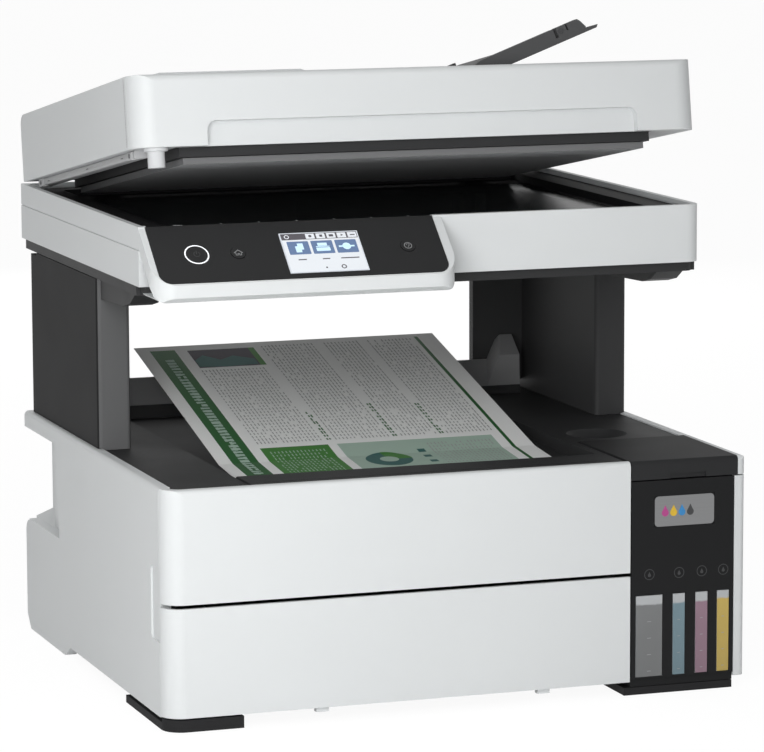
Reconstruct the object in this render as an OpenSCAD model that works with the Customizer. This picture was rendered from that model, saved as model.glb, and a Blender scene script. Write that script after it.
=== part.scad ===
// Ink-tank inkjet printer with a flatbed scanner and a document feeder.
// Millimetres, +Z up, front towards -Y. The origin is the middle of the bounding box's underside.

/* [Body] */
// Width over the two side covers
body_w = 375; // [370:1:385]
// Depth from the base's front face to the back of the scanner
body_d = 347; // [345:1:360]
// Depth of the base
base_d = 332.5; // [330:0.5:336]
// Height of the base, under the columns
base_h = 146.4; // [145:0.1:152]
// Wall of the moulded covers
wall = 2.5; // [2:0.1:3]
// Depth of the side covers, from their outer face to the frame
side_t = 7.5; // [7:0.1:8.5]
// Radius of the upright front corners
corner_r = 12.6; // [9:0.1:15]
// Height of the covers' lower edge over the table
skirt_h = 8.5; // [8:0.1:9.5]
// Thickness of the chassis floor
floor_t = 2.5; // [2:0.1:3]

/* [Clearances] */
// Gap between pieces that rest on each other
seat = 0.3; // [0.2:0.05:0.4]
// Joint line between neighbouring covers
seam = 0.8; // [0.6:0.1:1.2]
// Running clearance of what slides
slide_gap = 0.5; // [0.4:0.1:0.8]
// Radial clearance of a shaft in its bore
run_gap = 0.05; // [0.03:0.01:0.09]

/* [Cassette] */
// Top of the cassette's front panel
cassette_top = 74.8; // [74:0.1:76]
// Gap between the cassette's front panel and the cover above it
cassette_gap = 2.4; // [2:0.1:3]
// Height of the tray's walls
tray_h = 38; // [30:1:40]
// Underside of the tray over the table
tray_z = 12; // [11.5:0.1:13]
// Width of a sheet of paper
sheet_w = 210; // [200:1:216]
// Length of a sheet of paper
sheet_l = 297; // [280:1:300]
// Middle of the paper's path, across the printer
path_x = -16; // [-18:1:-14]
// Tooth size of the rack and pinion between the edge guides
rack_module = 1.5; // [1.4:0.1:1.6]
// Teeth of the pinion
pinion_teeth = 12; // [12:2:14]

/* [Ink tanks] */
// Width of the tank unit, from the joint with the front covers to the side
tank_w = 76.7; // [76:0.1:78]
// Depth of the tank unit
tank_d = 100; // [96:1:104]
// Height of the tank lid's lower edge
tank_lid_z = 134.7; // [134:0.1:136]
// Depth of the tank lid
tank_lid_d = 87.5; // [86:0.5:89]
// Top of the windows in front of the tanks
window_top = 62.5; // [58:0.5:66]
// Top of the tanks' bodies
tank_top = 92; // [88:1:94]
// Diameter of a filler neck
neck_d = 9; // [8:0.5:9.5]
// Height of a filler neck over its tank
neck_h = 9; // [8:0.5:9]

/* [Output] */
// Width of the recess that printed sheets slide into
tray_w = 236; // [230:1:240]
// Depth of the cover over the paper exit
exit_d = 35; // [30:1:37]
// Slope of the printed sheet, in degrees
sheet_slope = 14; // [12:0.5:14.5]
// Thickness of the printed sheet
sheet_t = 0.3; // [0.2:0.05:0.4]

/* [Columns] */
// Top of the columns
column_top = 254; // [250:0.5:256]
// Thickness of a column's wall, across the printer
column_t = 21.5; // [20:0.5:22.5]
// Inset of a column from the side of the base
column_inset = 4.3; // [4:0.1:5]
// Front of the left column
left_column_y = -12.5; // [-16:0.5:-8]
// Front of the right column
right_column_y = 9.7; // [6:0.1:14]
// Reach of the right column's back wall, inwards
back_wall = 36; // [30:1:38]

/* [Scanner] */
// Width of the scanner and of the lid
scan_w = 367.2; // [364:0.2:368]
// Front of the scanner
scan_front = -111.5; // [-113:0.5:-110]
// Lower edge of the scanner's white frame
scan_z = 260.5; // [260:0.5:262]
// Top of the scanner's white frame
scan_top = 296.7; // [295:0.1:298]
// Top face of the platen glass
glass_z = 289; // [288:0.2:289.6]
// Angle of the control panel, in degrees
panel_tilt = 40.86; // [39:0.1:42]
// Width of the control panel
panel_w = 192.7; // [188:0.1:198]
// Width of the touch screen
screen_w = 50; // [46:1:54]
// Height of the touch screen
screen_h = 32.5; // [30:0.5:34]
// Diameter of the power button
power_d = 13; // [11:0.5:14]
// Diameter of the small buttons
key_d = 9; // [8:0.5:11]
// Travel of the buttons
key_travel = 0.8; // [0.5:0.1:1]

/* [Lid] */
// How far the lid stands open, in degrees
lid_open = 9.5; // [0:0.5:12]
// Lower edge of the closed lid
lid_z = 299.5; // [299:0.1:301]
// Height of the lid's frame
lid_h = 44; // [43:0.5:44.5]
// Front of the closed lid
lid_front = -109; // [-110:0.5:-108]
// Back of the lid
lid_back = 167; // [166.5:0.5:167]
// Width of the finger recess
grip_w = 280; // [260:1:290]
// Height of the finger recess
grip_h = 15; // [12:0.5:18]
// How far the feeder's input tray stands up, in degrees
adf_open = 20.3; // [0:0.1:22]

/* [Hidden] */
$fn = 48;
eps = 0.01;
far = 500;

// Colours of the mouldings
white = "#dfe2e4";
charcoal = "#2c2d2f";
grey = "#4c4d50";
black = "#17181a";
steel = "#a9adb0";

// Main planes
hw = body_w / 2;
front_y = -body_d / 2;
back_y = body_d / 2;
base_back = front_y + base_d;
frame_x = hw - side_t - seat;
inner_x = frame_x - wall;
split_x = hw - tank_w;
seam_y = front_y + corner_r;
floor_top = 5 + floor_t;
cover_z = cassette_top + cassette_gap;

// Ends of a pair of opposed pieces
SIDES = [-1, 1];

// ---- helpers -----------------------------------------------------------------------------

// A box from its limits along X, Y and Z
module span(x, y, z) {
    translate([x[0], y[0], z[0]])
        cube([x[1] - x[0], y[1] - y[0], z[1] - z[0]]);
}

// A rectangle from its limits, with round corners
module round_rect(x, y, r) {
    translate([x[0] + r, y[0]])
        square([x[1] - x[0] - 2 * r, y[1] - y[0]]);
    translate([x[0], y[0] + r])
        square([x[1] - x[0], y[1] - y[0] - 2 * r]);
    for (cx = [x[0] + r, x[1] - r], cy = [y[0] + r, y[1] - r])
        translate([cx, cy])
            circle(r);
}

// A rectangle from its limits, with only its two low-Y corners round
module round_front(x, y, r) {
    translate([x[0], y[0] + r])
        square([x[1] - x[0], y[1] - y[0] - r]);
    translate([x[0] + r, y[0]])
        square([x[1] - x[0] - 2 * r, r + eps]);
    for (cx = [x[0] + r, x[1] - r])
        translate([cx, y[0] + r])
            circle(r);
}

// The quadrant right of and below a corner, with that corner rounded
module crest(left, top, r) {
    translate([left, -far])
        square([2 * far, far + top - r]);
    translate([left + r, -far])
        square([2 * far, far + top]);
    translate([left + r, top - r])
        circle(r);
}

// An upright extrusion between two heights
module along_z(z) {
    translate([0, 0, z[0]])
        linear_extrude(z[1] - z[0])
            children();
}

// A (Y, Z) profile carried across the printer
module along_x(x) {
    translate([x[0], 0, 0])
        rotate([90, 0, 90])
            linear_extrude(x[1] - x[0])
                children();
}

// An (X, Z) profile carried from front to back
module along_y(y) {
    translate([0, y[1], 0])
        rotate([90, 0, 0])
            linear_extrude(y[1] - y[0])
                children();
}

// A round bar across the printer, at a point in the YZ plane
module bar_x(x, y, z, d) {
    translate([x[0], y, z])
        rotate([0, 90, 0])
            cylinder(h = x[1] - x[0], d = d);
}

// A round bar from front to back, at a point in the XZ plane
module bar_y(y, x, z, d) {
    translate([x, y[1], z])
        rotate([90, 0, 0])
            cylinder(h = y[1] - y[0], d = d);
}

// ---- base: outer covers --------------------------------------------------------------------

// The rear notch of the side covers, a grip for lifting the printer
notch_y = 72;
notch_z = [75, base_h - 10.4];
bump_h = 74;
bump_front = 62;
edge_r = 3;
heel_r = 9;

// Outline of a side cover, seen from the side
module side_outline() {
    difference() {
        polygon([[seam_y + seam, skirt_h - 1], [bump_front - 14, skirt_h - 1],
            [bump_front, 0], [base_back - heel_r, 0], [base_back, heel_r],
            [base_back, base_h], [seam_y + seam, base_h]]);
        polygon([[notch_y, notch_z[0]], [far, notch_z[0]], [far, notch_z[1]],
            [notch_y + 9, notch_z[1]]]);
        translate([base_back - heel_r, bump_h - heel_r])
            difference() {
                square(heel_r * 2);
                circle(heel_r);
            }
    }
}

// One side cover: an outer wall with a flange round its edge, on the left side
module side_cover() {
    difference() {
        intersection() {
            along_x([-hw, -hw + side_t])
                side_outline();
            along_y([-far, far])
                crest(-hw, base_h, edge_r);
        }
        // hollow between the outer wall and the frame
        span([-hw + wall, far], [seam_y + seam + wall, notch_y - wall], [skirt_h + wall, base_h - 5]);
        span([-hw + wall, far], [notch_y - wall - eps, base_back - wall],
            [skirt_h + wall, notch_z[0] - 12]);
    }
}

latch_y = [seam_y + seam, seam_y + 18];
latch_z = [53, 98];

module left_side_cover() {
    color(white)
        difference() {
            side_cover();
            // shallow latch recess behind the cassette's corner
            along_x([-far, -hw + wall / 2])
                round_rect([latch_y[0] - 8, latch_y[1]], latch_z, 4);
        }
}

module right_side_cover() {
    color(white)
        difference() {
            mirror([1, 0, 0])
                side_cover();
            // the tank lid's side drops in here
            span([0, far], [-far, front_y + tank_lid_d + seam], [tank_lid_z - seam, far]);
        }
    color(white)
        difference() {
            span([hw - side_t, hw], [front_y, seam_y + seam], [skirt_h - 1, tank_lid_z - seam]);
            translate([hw, front_y, 0])
                difference() {
                    translate([-side_t / 2, -side_t / 2, 0])
                        cube([side_t, side_t, far]);
                    translate([-side_t / 2, side_t / 2, -1])
                        cylinder(h = far + 2, r = side_t / 2);
                }
        }
}

// Front cover between two heights: a wall whose left end wraps round the corner
module front_wall(z, t) {
    start = -hw + corner_r;
    difference() {
        span([-hw, split_x - seam / 2], [front_y, seam_y], z);
        span([start, far], [front_y + t, far], [-far, far]);
        translate([start, seam_y, -far])
            cylinder(h = 2 * far, r = corner_r - t);
        difference() {
            span([-hw - 1, start], [front_y - 1, seam_y + 1], [-far, far]);
            translate([start, seam_y, -2 * far])
                cylinder(h = 4 * far, r = corner_r);
        }
    }
}

module front_cover() {
    color(white)
        intersection() {
            union() {
                front_wall([cover_z, base_h], wall);
                // rim that folds in over the deck's edge
                front_wall([base_h - 5, base_h], 5);
            }
            along_x([-far, far])
                crest(front_y, base_h, edge_r);
        }
}

inlet_x = [-160, -134];
inlet_z = [88, 108];
waste_x = [112, 168];
waste_z = [20, 58];

module rear_cover() {
    color(grey)
        difference() {
            union() {
                span([-frame_x, frame_x], [base_back - wall, base_back],
                    [skirt_h, notch_z[1] - seat]);
                // returns that show in the side covers' notches
                for (s = SIDES)
                    span([s * frame_x - (s > 0 ? wall : 0), s * frame_x + (s < 0 ? wall : 0)],
                        [notch_y - 8, base_back], [notch_z[0] - 11, deck_under - seat]);
            }
            span(inlet_x, [0, far], inlet_z);
            span([waste_x[0] - seam, waste_x[1] + seam], [0, far],
                [waste_z[0] - seam, waste_z[1] + seam]);
            // cooling slots
            for (i = [0:9])
                span([-60 + i * 12, -54 + i * 12], [0, far], [90, 116]);
        }
}

module feet() {
    foot_top = 5 - seat;
    color(black) {
        // front left, wrapped round the corner
        intersection() {
            union() {
                span([-hw, -139], [front_y, front_y + 34], [0, 5 - seat]);
                span([-hw, -hw + 24], [front_y, front_y + 91], [0, 5 - seat]);
            }
            along_z([0, far])
                round_front([-hw + 0.5, far], [front_y + 0.6, far], corner_r);
        }
        span([107, hw - 8], [front_y + 1, front_y + 36], [0, foot_top]);
        for (s = SIDES)
            translate([s * 150, base_back - 60, 0])
                cylinder(h = foot_top, d = 24);
    }
    // lip of the front left foot, under the cassette's edge
    color(black)
        intersection() {
            difference() {
                span([-hw, -139], [front_y, front_y + 12], [foot_top - eps, skirt_h - 1.2]);
                span([-far, far], [front_y + 12 - eps, far], [-far, far]);
            }
            along_z([0, far])
                round_front([-hw + 0.5, far], [front_y + 0.6, far], corner_r);
        }
}

// ---- base: chassis and deck --------------------------------------------------------------

deck_t = 2.5;
deck_top = base_h - 0.9;
deck_under = deck_top - 12;
frame_z = cover_z + 1;
frame_t = 1.6;
frame_y = [-62, 112];
bay_x = split_x - 5;
tray_front = front_y + wall + seat;
tray_back = tray_front + sheet_l + 2 * wall + 7.5;
inlet_rear = base_back - wall;

module bottom_chassis() {
    color(charcoal) {
        difference() {
            union() {
                span([-frame_x, frame_x], [seam_y + 2, base_back - wall - seat], [5, floor_top]);
                // side walls, up to the deck
                span([-frame_x, -inner_x], [seam_y + 2, base_back - wall - seat],
                    [floor_top - eps, deck_under - seat]);
                span([inner_x, frame_x], [front_y + tank_d + 3, base_back - wall - seat],
                    [floor_top - eps, deck_under - seat]);
                // wall between the cassette and the tanks
                span([bay_x - wall, bay_x], [seam_y + 2, tray_back + 3], [floor_top - eps, frame_z - seat]);
                // ledge that carries the mechanism on the left
                span([-inner_x - eps, -inner_x + 8], frame_y, [frame_z - 8, frame_z - seat]);
                // posts that carry it on the right
                for (y = [frame_y[0] + 18, frame_y[1] - 12])
                    span([inner_x - 6, inner_x + eps], [y, y + 10], [floor_top - eps, frame_z - seat]);
                // rear wall
                span([-inner_x - eps, inner_x + eps], [base_back - 2 * wall - seat, base_back - wall - seat],
                    [floor_top - eps, 112]);
                // runners of the cassette
                for (x = [-150, 80])
                    span([x - 3, x + 3], [seam_y + 4, tray_back - 10], [floor_top - eps, tray_z - seat]);
                // stop behind the cassette
                span([-60, 0], [tray_back + seat, tray_back + seat + 3], [floor_top - eps, 40]);
            }
            // the rear cover's returns show here, in the side covers' notches
            for (x = [[-far, -inner_x + eps], [inner_x - eps, far]])
                span(x, [notch_y - 8 - seat, far], [notch_z[0] - 11 - seat, far]);
            span([inlet_x[0] - 3, inlet_x[1] + 3], [base_back - 20, far], [inlet_z[0] - 3, inlet_z[1] + 3]);
            span([waste_x[0] - seam, waste_x[1] + seam], [base_back - 20, far],
                [waste_z[0] - seam, waste_z[1] + seam]);
        }
    }
}

bay_back = front_y + tank_d;
recess_x = [path_x - tray_w / 2 + 2, path_x + tray_w / 2 + 2];
lip_front = front_y + 5 + seat;
lip_back = lip_front + exit_d;
lip_x = [recess_x[0] - 0.3 + 2, split_x - 8];
riser_y = 122.5;
flap_foot_z = 151.4;

// Floor of the output recess: it dips behind the paper exit and rises to the back
function recess_z(y) = let (u = (y - lip_front) / (riser_y - lip_front)) deck_top - 9 + 6 * u * u;

// Profile of the deck's middle: recess floor and riser, with a skin thickness below
module recess_profile() {
    steps = 12;
    top = [for (i = [0:steps]) let (y = lip_front + (riser_y - lip_front) * i / steps)
        [y, recess_z(y)]];
    polygon(concat(top, [[riser_y, flap_foot_z - seat], [riser_y + 24, flap_foot_z - seat],
        [riser_y + 24, far], [lip_front, far]]));
}

module output_deck() {
    side_limits = [-hw + 5 + seat, hw - 5 - seat];
    color(charcoal) {
        difference() {
            union() {
                difference() {
                    // front part beside the tank unit, and the full width behind it
                    union() {
                        span([side_limits[0], split_x - seam], [front_y + 5 + seat, -80],
                            [deck_under, deck_top]);
                        span([-hw + side_t + seat, split_x - seam], [seam_y + 3, bay_back + 3],
                            [deck_under, deck_top]);
                        span([-hw + side_t + seat, hw - side_t - seat],
                            [front_y + tank_lid_d + seam, base_back - wall - seat],
                            [deck_under, deck_top]);
                    }
                    // corner that the side cover's rim rounds
                    translate([-hw, front_y, 0])
                        difference() {
                            translate([-1, -1, -1])
                                cube([corner_r + 1, corner_r + 1, far]);
                            translate([corner_r, corner_r, -2])
                                cylinder(h = far + 4, r = corner_r - 5 - seat);
                        }
                    span([-far, -hw + side_t + seat], [seam_y, far], [-far, far]);
                    // room for the covers' rim and for the tank housing
                    span([-far, far], [-far, front_y + wall + seat], [-far, base_h - 5 - seat]);
                    span([split_x - 2, far], [-far, bay_back + seat], [-far, tank_lid_z]);
                    // open underside
                    span([-frame_x + 6, split_x - 8], [front_y + 14, base_back - 12],
                        [-far, deck_top - 9 - deck_t]);
                    // recess, sloping to the back
                    along_x(recess_x)
                        recess_profile();
                    // curved finger hollow behind the tank lid
                    translate([split_x + 24, front_y + tank_lid_d + 28, deck_top + 14])
                        sphere(r = 24);
                }
                // riser behind the recess, which carries the paper support
                span([-158, 152], [riser_y, base_back - 12], [deck_top - 6, flap_foot_z - seat]);
            }
            // mouth of the paper exit, under the lip
            span([path_x - sheet_w / 2 - 4, path_x + sheet_w / 2 + 4], [front_y + 14, lip_back - 8],
                [-far, deck_top - 2.2]);
        }
        // small stop at the right of the recess
        translate([recess_x[1] + 16, riser_y - 3, deck_top - eps])
            cylinder(h = 4, d = 6);
    }
}

module exit_guide() {
    top = base_h;
    color(charcoal)
        difference() {
            along_x([recess_x[0] + seam, lip_x[1]])
                polygon([[lip_front, top - 7], [lip_front, top], [lip_back - 4, top],
                    [lip_back, top - 2], [lip_back, top - 3.2], [lip_back - 6, top - 3.8],
                    [lip_front + 8, top - 7]]);
            // long groove in the top of the cover
            span([recess_x[0] + 10, lip_x[1] - 10], [lip_front + 6, lip_front + 6.8], [top - 0.8, far]);
        }
}

// ---- base: ink tanks -----------------------------------------------------------------------

// Each tank: left limit, right limit, left and right limit of its window
TANKS = [[split_x + 3.2, split_x + 22.5, split_x + 3.2, split_x + 21.5],
    [split_x + 26, split_x + 39.2, split_x + 27.9, split_x + 36.6],
    [split_x + 41, split_x + 54.2, split_x + 43.1, split_x + 51.9],
    [split_x + 56, split_x + 66, split_x + 57.7, split_x + 66.3]];
window_z = [10.9, window_top];
housing_x = [split_x + seam / 2, hw - side_t - seat];
housing_z = [10, tank_lid_z - seam];
shelf_z = tank_top + 2;
cap_hinge_z = shelf_z + 9;
tank_y = [front_y + wall + seat, bay_back - 4];
neck_y = front_y + 34;
cap_hinge_y = neck_y + 13;
function tank_mid(i) = (TANKS[i][0] + TANKS[i][1]) / 2;

module tank_housing() {
    color(black)
        difference() {
            union() {
                difference() {
                    span(housing_x, [front_y, bay_back], housing_z);
                    // tank chamber and, over the shelf, the filler bay
                    span([housing_x[0] + wall, housing_x[1] - wall], [tank_y[0] - seat, bay_back - wall],
                        [housing_z[0] + wall, shelf_z]);
                    span([housing_x[0] + wall, housing_x[1] - wall], [front_y + wall, bay_back - wall],
                        [shelf_z + wall, far]);
                    for (t = TANKS)
                        span([t[2], t[3]], [-far, front_y + wall + 1], window_z);
                    for (i = [0:3])
                        translate([tank_mid(i), neck_y, shelf_z - 1])
                            cylinder(h = wall + 2, d = neck_d + 2 * slide_gap);
                }
                // ears of the caps' hinges
                for (i = [0:3], s = SIDES)
                    along_x([tank_mid(i) + s * 4.6 - 0.7, tank_mid(i) + s * 4.6 + 0.7]) {
                        translate([cap_hinge_y, cap_hinge_z])
                            circle(3);
                        translate([cap_hinge_y - 3, shelf_z + wall - eps])
                            square([6, cap_hinge_z - shelf_z - wall]);
                    }
                // pads of the tank lid's hinge
                for (x = [split_x + 12, hw - 22])
                    span([x - 4, x + 4], [bay_back - wall - 5, bay_back], [tank_lid_z - 12, tank_lid_z - seam]);
            }
            for (i = [0:3])
                bar_x([tank_mid(i) - 6, tank_mid(i) + 6], cap_hinge_y, cap_hinge_z, 2 + 2 * run_gap);
            // seat of the plate on the front
            span([plate_x[0] - seat, plate_x[1] + seat], [-far, front_y + 0.6], [plate_z[0] - seat, plate_z[1] + seat]);
        }
    // foot strip under the housing
    color(black)
        span(housing_x, [front_y + 1.5, seam_y], [5, housing_z[0] + eps]);
}

plate_x = [split_x + 15.7, split_x + 55.5];
plate_z = [105, 123.9];

module badge_plate() {
    color("silver")
        along_y([front_y, front_y + 0.5])
            round_rect(plate_x, plate_z, 2.5);
}

module ink_tanks() {
    color("lightgrey")
        for (i = [0:3]) {
            t = TANKS[i];
            difference() {
                union() {
                    span([t[0], t[1]], tank_y, [housing_z[0] + wall + seat, tank_top]);
                    span([t[2] + seat, t[3] - seat], [front_y + seat, tank_y[0] + eps],
                        [window_z[0] + seat, window_z[1] - seat]);
                    translate([tank_mid(i), neck_y, tank_top - eps])
                        cylinder(h = neck_h, d = neck_d);
                }
                // filler neck and the tank's inside
                translate([tank_mid(i), neck_y, tank_top - 6])
                    cylinder(h = far, d = neck_d - 4);
                span([t[0] + 1.5, t[1] - 1.5], [tank_y[0] + 1.5, tank_y[1] - 1.5],
                    [housing_z[0] + wall + 2, tank_top - 2]);
            }
        }
}

// A filler cap, hinged behind its neck
module tank_cap(i) {
    seat_z = tank_top + neck_h + seat;
    translate([tank_mid(i), neck_y, seat_z])
        cylinder(h = 3, d = neck_d + 1.5);
    span([tank_mid(i) - 3, tank_mid(i) + 3], [neck_y - 9, cap_hinge_y], [seat_z + 1, seat_z + 3]);
    bar_x([tank_mid(i) - 3.6, tank_mid(i) + 3.6], cap_hinge_y, cap_hinge_z, 5);
    bar_x([tank_mid(i) - 5, tank_mid(i) + 5], cap_hinge_y, cap_hinge_z, 2);
}

module black_cap() {
    color("#303234")
        tank_cap(0);
}

module cyan_cap() {
    color("#2f7fb5")
        tank_cap(1);
}

module magenta_cap() {
    color("#a8437f")
        tank_cap(2);
}

module yellow_cap() {
    color("#c9a227")
        tank_cap(3);
}

tank_lid_y = [front_y, front_y + tank_lid_d];

module tank_lid() {
    color(charcoal)
        difference() {
            intersection() {
                span([split_x + seam / 2, hw], tank_lid_y, [tank_lid_z, base_h]);
                along_x([-far, far])
                    crest(front_y, base_h, edge_r);
                mirror([0, 1, 0])
                    along_x([-far, far])
                        crest(-tank_lid_y[1], base_h, edge_r);
                mirror([1, 0, 0])
                    along_y([-far, far])
                        crest(-hw, base_h, edge_r);
                along_z([-far, far])
                    round_front([-far, hw], [front_y, far], side_t / 2);
            }
            span([split_x + wall, hw - side_t - wall], [front_y + wall, tank_lid_y[1] - 8],
                [tank_lid_z - 1, base_h - wall]);
            // finger hollow in the middle of the front edge
            span([split_x + 26, split_x + 50], [-far, front_y + 1.2], [-far, tank_lid_z + 3]);
        }
}

// ---- base: columns ------------------------------------------------------------------------

column_z = [deck_top + seat, column_top];
column_x = hw - column_inset;
column_back = 151;
hinge_axis = [153, column_top + 4];
hinge_ear_t = 8;
hinge_pin_d = 6;

// The ear that carries the scanner's hinge, at one side
module column_ear(s) {
    x = s * (column_x - 10);
    difference() {
        along_x([x - hinge_ear_t / 2, x + hinge_ear_t / 2]) {
            translate(hinge_axis)
                circle(7);
            polygon([[hinge_axis[0] - 7, hinge_axis[1]], [hinge_axis[0] + 7, hinge_axis[1]],
                [column_back, column_top - 22], [column_back - 12, column_top - 22],
                [column_back - 12, column_top - 6]]);
        }
        bar_x([x - far, x + far], hinge_axis[0], hinge_axis[1], hinge_pin_d + 2 * run_gap);
    }
}

// Room for the top of the side cover, under a column's outer edge
module over_cover(s) {
    translate([s * far, 0, base_h + seat - far])
        cube([2 * (far - frame_x), 2 * far, 2 * far], center = true);
}

module left_column() {
    color(charcoal) {
        difference() {
            along_z(column_z)
                round_front([-column_x, -column_x + column_t], [left_column_y, column_back], 3);
            // hollow inside
            span([-column_x + wall, -column_x + column_t - wall],
                [left_column_y + wall, column_back - wall], [column_z[0] - 1, column_top - wall]);
            span([-far, far], [column_back - 14, far], [column_top - 1.5, far]);
            over_cover(-1);
        }
        column_ear(-1);
    }
}

module right_column() {
    color(charcoal) {
        difference() {
            union() {
                along_z(column_z)
                    round_front([column_x - column_t, column_x], [right_column_y, column_back], 3);
                // back wall that reaches inwards, behind the output recess
                span([column_x - column_t - back_wall + eps, column_x - column_t + eps],
                    [column_back - 7, column_back], [flap_foot_z + seat, column_top]);
            }
            span([column_x - column_t + wall, column_x - wall],
                [right_column_y + wall, column_back - wall], [column_z[0] - 1, column_top - wall]);
            span([column_x - column_t - 1, far], [column_back - 14, far], [column_top - 1.5, far]);
            over_cover(1);
        }
        column_ear(1);
    }
}

// ---- base: print mechanism -----------------------------------------------------------------

frame_side_x = [-166, 166];
rail_y = 22;
rail_z = 112;
rail_d = 8;
beam_y = 46;
beam_top = 126;
shaft_d = 6;
feed_y = 74;
feed_z = 92;
exit_y = -34;
exit_z = 90;
roller_d = 12;
arm_pivot = [104, 68];
arm_x = [path_x - 16, path_x + 16];
belt_y = 40.4;
belt_z = [98, 106];

module mechanism_frame() {
    color(steel)
        difference() {
            union() {
                // floor plate, folded up into side plates and a beam
                span([-inner_x + 1, inner_x - 1], frame_y, [frame_z, frame_z + frame_t]);
                for (x = frame_side_x)
                    span([x - frame_t / 2, x + frame_t / 2], frame_y, [frame_z, beam_top]);
                span([frame_side_x[0], frame_side_x[1]], [beam_y, beam_y + frame_t], [frame_z, beam_top]);
                span([frame_side_x[0], frame_side_x[1]], [beam_y, beam_y + 12], [beam_top - frame_t, beam_top]);
                // the carriage's guide rod
                bar_x(frame_side_x, rail_y, rail_z, rail_d);
                // lugs of the pick-up arm's pivot
                for (x = [arm_x[0] - 5, arm_x[1] + 5])
                    along_x([x - 1.5, x + 1.5]) {
                        translate(arm_pivot)
                            circle(5);
                        translate([arm_pivot[0] - 5, arm_pivot[1]])
                            square([10, frame_z - arm_pivot[1] + eps]);
                    }
            }
            // opening over the pick-up arm and lightening slots in the beam
            span([arm_x[0] - 2, arm_x[1] + 2], [20, 98], [frame_z - 1, frame_z + frame_t + 1]);
            for (i = [-5:4])
                span([i * 30 + 4, i * 30 + 26], [beam_y - 1, beam_y + frame_t + 1], [frame_z + 8, belt_z[0] - 6]);
            bar_x([-far, far], feed_y, feed_z, shaft_d + 2 * run_gap);
            bar_x([-far, far], exit_y, exit_z, shaft_d + 2 * run_gap);
            bar_x([arm_x[0] - 8, arm_x[1] + 8], arm_pivot[0], arm_pivot[1], shaft_d + 2 * run_gap);
        }
}

// Trapezium teeth of a spur gear: a fraction of a tooth wide at the tip and at the root
module gear_plan(teeth, m) {
    pitch_r = teeth * m / 2;
    tip_r = pitch_r + 0.8 * m;
    root_r = pitch_r - 1.1 * m;
    half = 90 / teeth;
    circle(root_r);
    for (i = [0:teeth - 1])
        rotate(i * 360 / teeth)
            polygon([for (p = [[root_r - 0.3, 1.05], [pitch_r, 0.86], [tip_r, 0.36]]) each
                    [p[0] * [cos(half * p[1]), -sin(half * p[1])]],
                for (p = [[tip_r, 0.36], [pitch_r, 0.86], [root_r - 0.3, 1.05]]) each
                    [p[0] * [cos(half * p[1]), sin(half * p[1])]]]);
}

module roller(y, z, x, gear_teeth) {
    bar_x([frame_side_x[0] - 4, frame_side_x[1] + 4], y, z, shaft_d);
    for (i = [0:3])
        bar_x([x[0] + i * (x[1] - x[0]) / 3.6, x[0] + i * (x[1] - x[0]) / 3.6 + 34], y, z, roller_d);
    // drive gear outside the left side plate
    translate([frame_side_x[0] - 4.6, y, z])
        rotate([0, 90, 0])
            linear_extrude(3)
                gear_plan(gear_teeth, 0.8);
}

module feed_roller() {
    color(grey)
        roller(feed_y, feed_z, [path_x - 100, path_x + 100], 24);
}

module exit_roller() {
    color(grey)
        roller(exit_y, exit_z, [path_x - 100, path_x + 100], 20);
}

module drive_motors() {
    color(black) {
        // carriage motor, behind the beam, with its pulley shaft through it
        translate([-138, beam_y + frame_t + seat, (belt_z[0] + belt_z[1]) / 2])
            rotate([-90, 0, 0])
                cylinder(h = 20, d = 26);
        // feed motor, on the floor plate
        translate([-138, 6, frame_z + frame_t + seat + 13])
            rotate([0, -90, 0])
                cylinder(h = 26, d = 26);
    }
}

module timing_belt() {
    r = (belt_z[1] - belt_z[0]) / 2;
    ends = [-138, 150];
    color(black)
        along_y([belt_y - 2.5, belt_y + 2.5])
            difference() {
                round_rect([ends[0] - r, ends[1] + r], belt_z, r - eps);
                round_rect([ends[0] - r + 1.2, ends[1] + r - 1.2], [belt_z[0] + 1.2, belt_z[1] - 1.2],
                    r - 1.2 - eps);
            }
    // pulleys at both ends
    color(steel)
        for (x = ends)
            translate([x, belt_y - 2.5, (belt_z[0] + belt_z[1]) / 2])
                rotate([-90, 0, 0])
                    cylinder(h = beam_y - belt_y + 2.5 - seat, r = r - 1.2);
}

module platen() {
    color(black) {
        span([path_x - 112, path_x + 112], [-20, 44], [frame_z + frame_t + seat, frame_z + frame_t + 3]);
        for (i = [0:12])
            span([path_x - 106 + i * 17.5, path_x - 104 + i * 17.5], [-18, 42],
                [frame_z + frame_t + 3 - eps, frame_z + frame_t + 5]);
    }
}

carriage_x = [101, 157];
carriage_y = [-6, 36];
carriage_z = [92, 124];

module print_carriage() {
    color(charcoal)
        difference() {
            union() {
                span(carriage_x, carriage_y, carriage_z);
                // clip over the belt
                span([carriage_x[0] + 16, carriage_x[0] + 40], [carriage_y[1] - eps, belt_y + 2.5],
                    [belt_z[1] + seat, belt_z[1] + 4]);
            }
            // bearing on the guide rod
            bar_x([carriage_x[0] - 1, carriage_x[1] + 1], rail_y, rail_z, rail_d + 2 * run_gap);
            // four ink channels
            for (i = [0:3])
                span([carriage_x[0] + 4 + i * 12.5, carriage_x[0] + 14 + i * 12.5],
                    [carriage_y[0] + 3, carriage_y[0] + 18], [carriage_z[0] + 8, far]);
        }
}

module print_head() {
    color(steel)
        span([carriage_x[0] + 8, carriage_x[1] - 8], [carriage_y[0] + 4, carriage_y[1] - 6],
            [carriage_z[0] - 3, carriage_z[0] - seat]);
}

arm_len = 60;
arm_rest = 6;
pick_d = 17;
pick_y = arm_pivot[0] - arm_len * cos(arm_rest);
pick_z = arm_pivot[1] - arm_len * sin(arm_rest);

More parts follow.
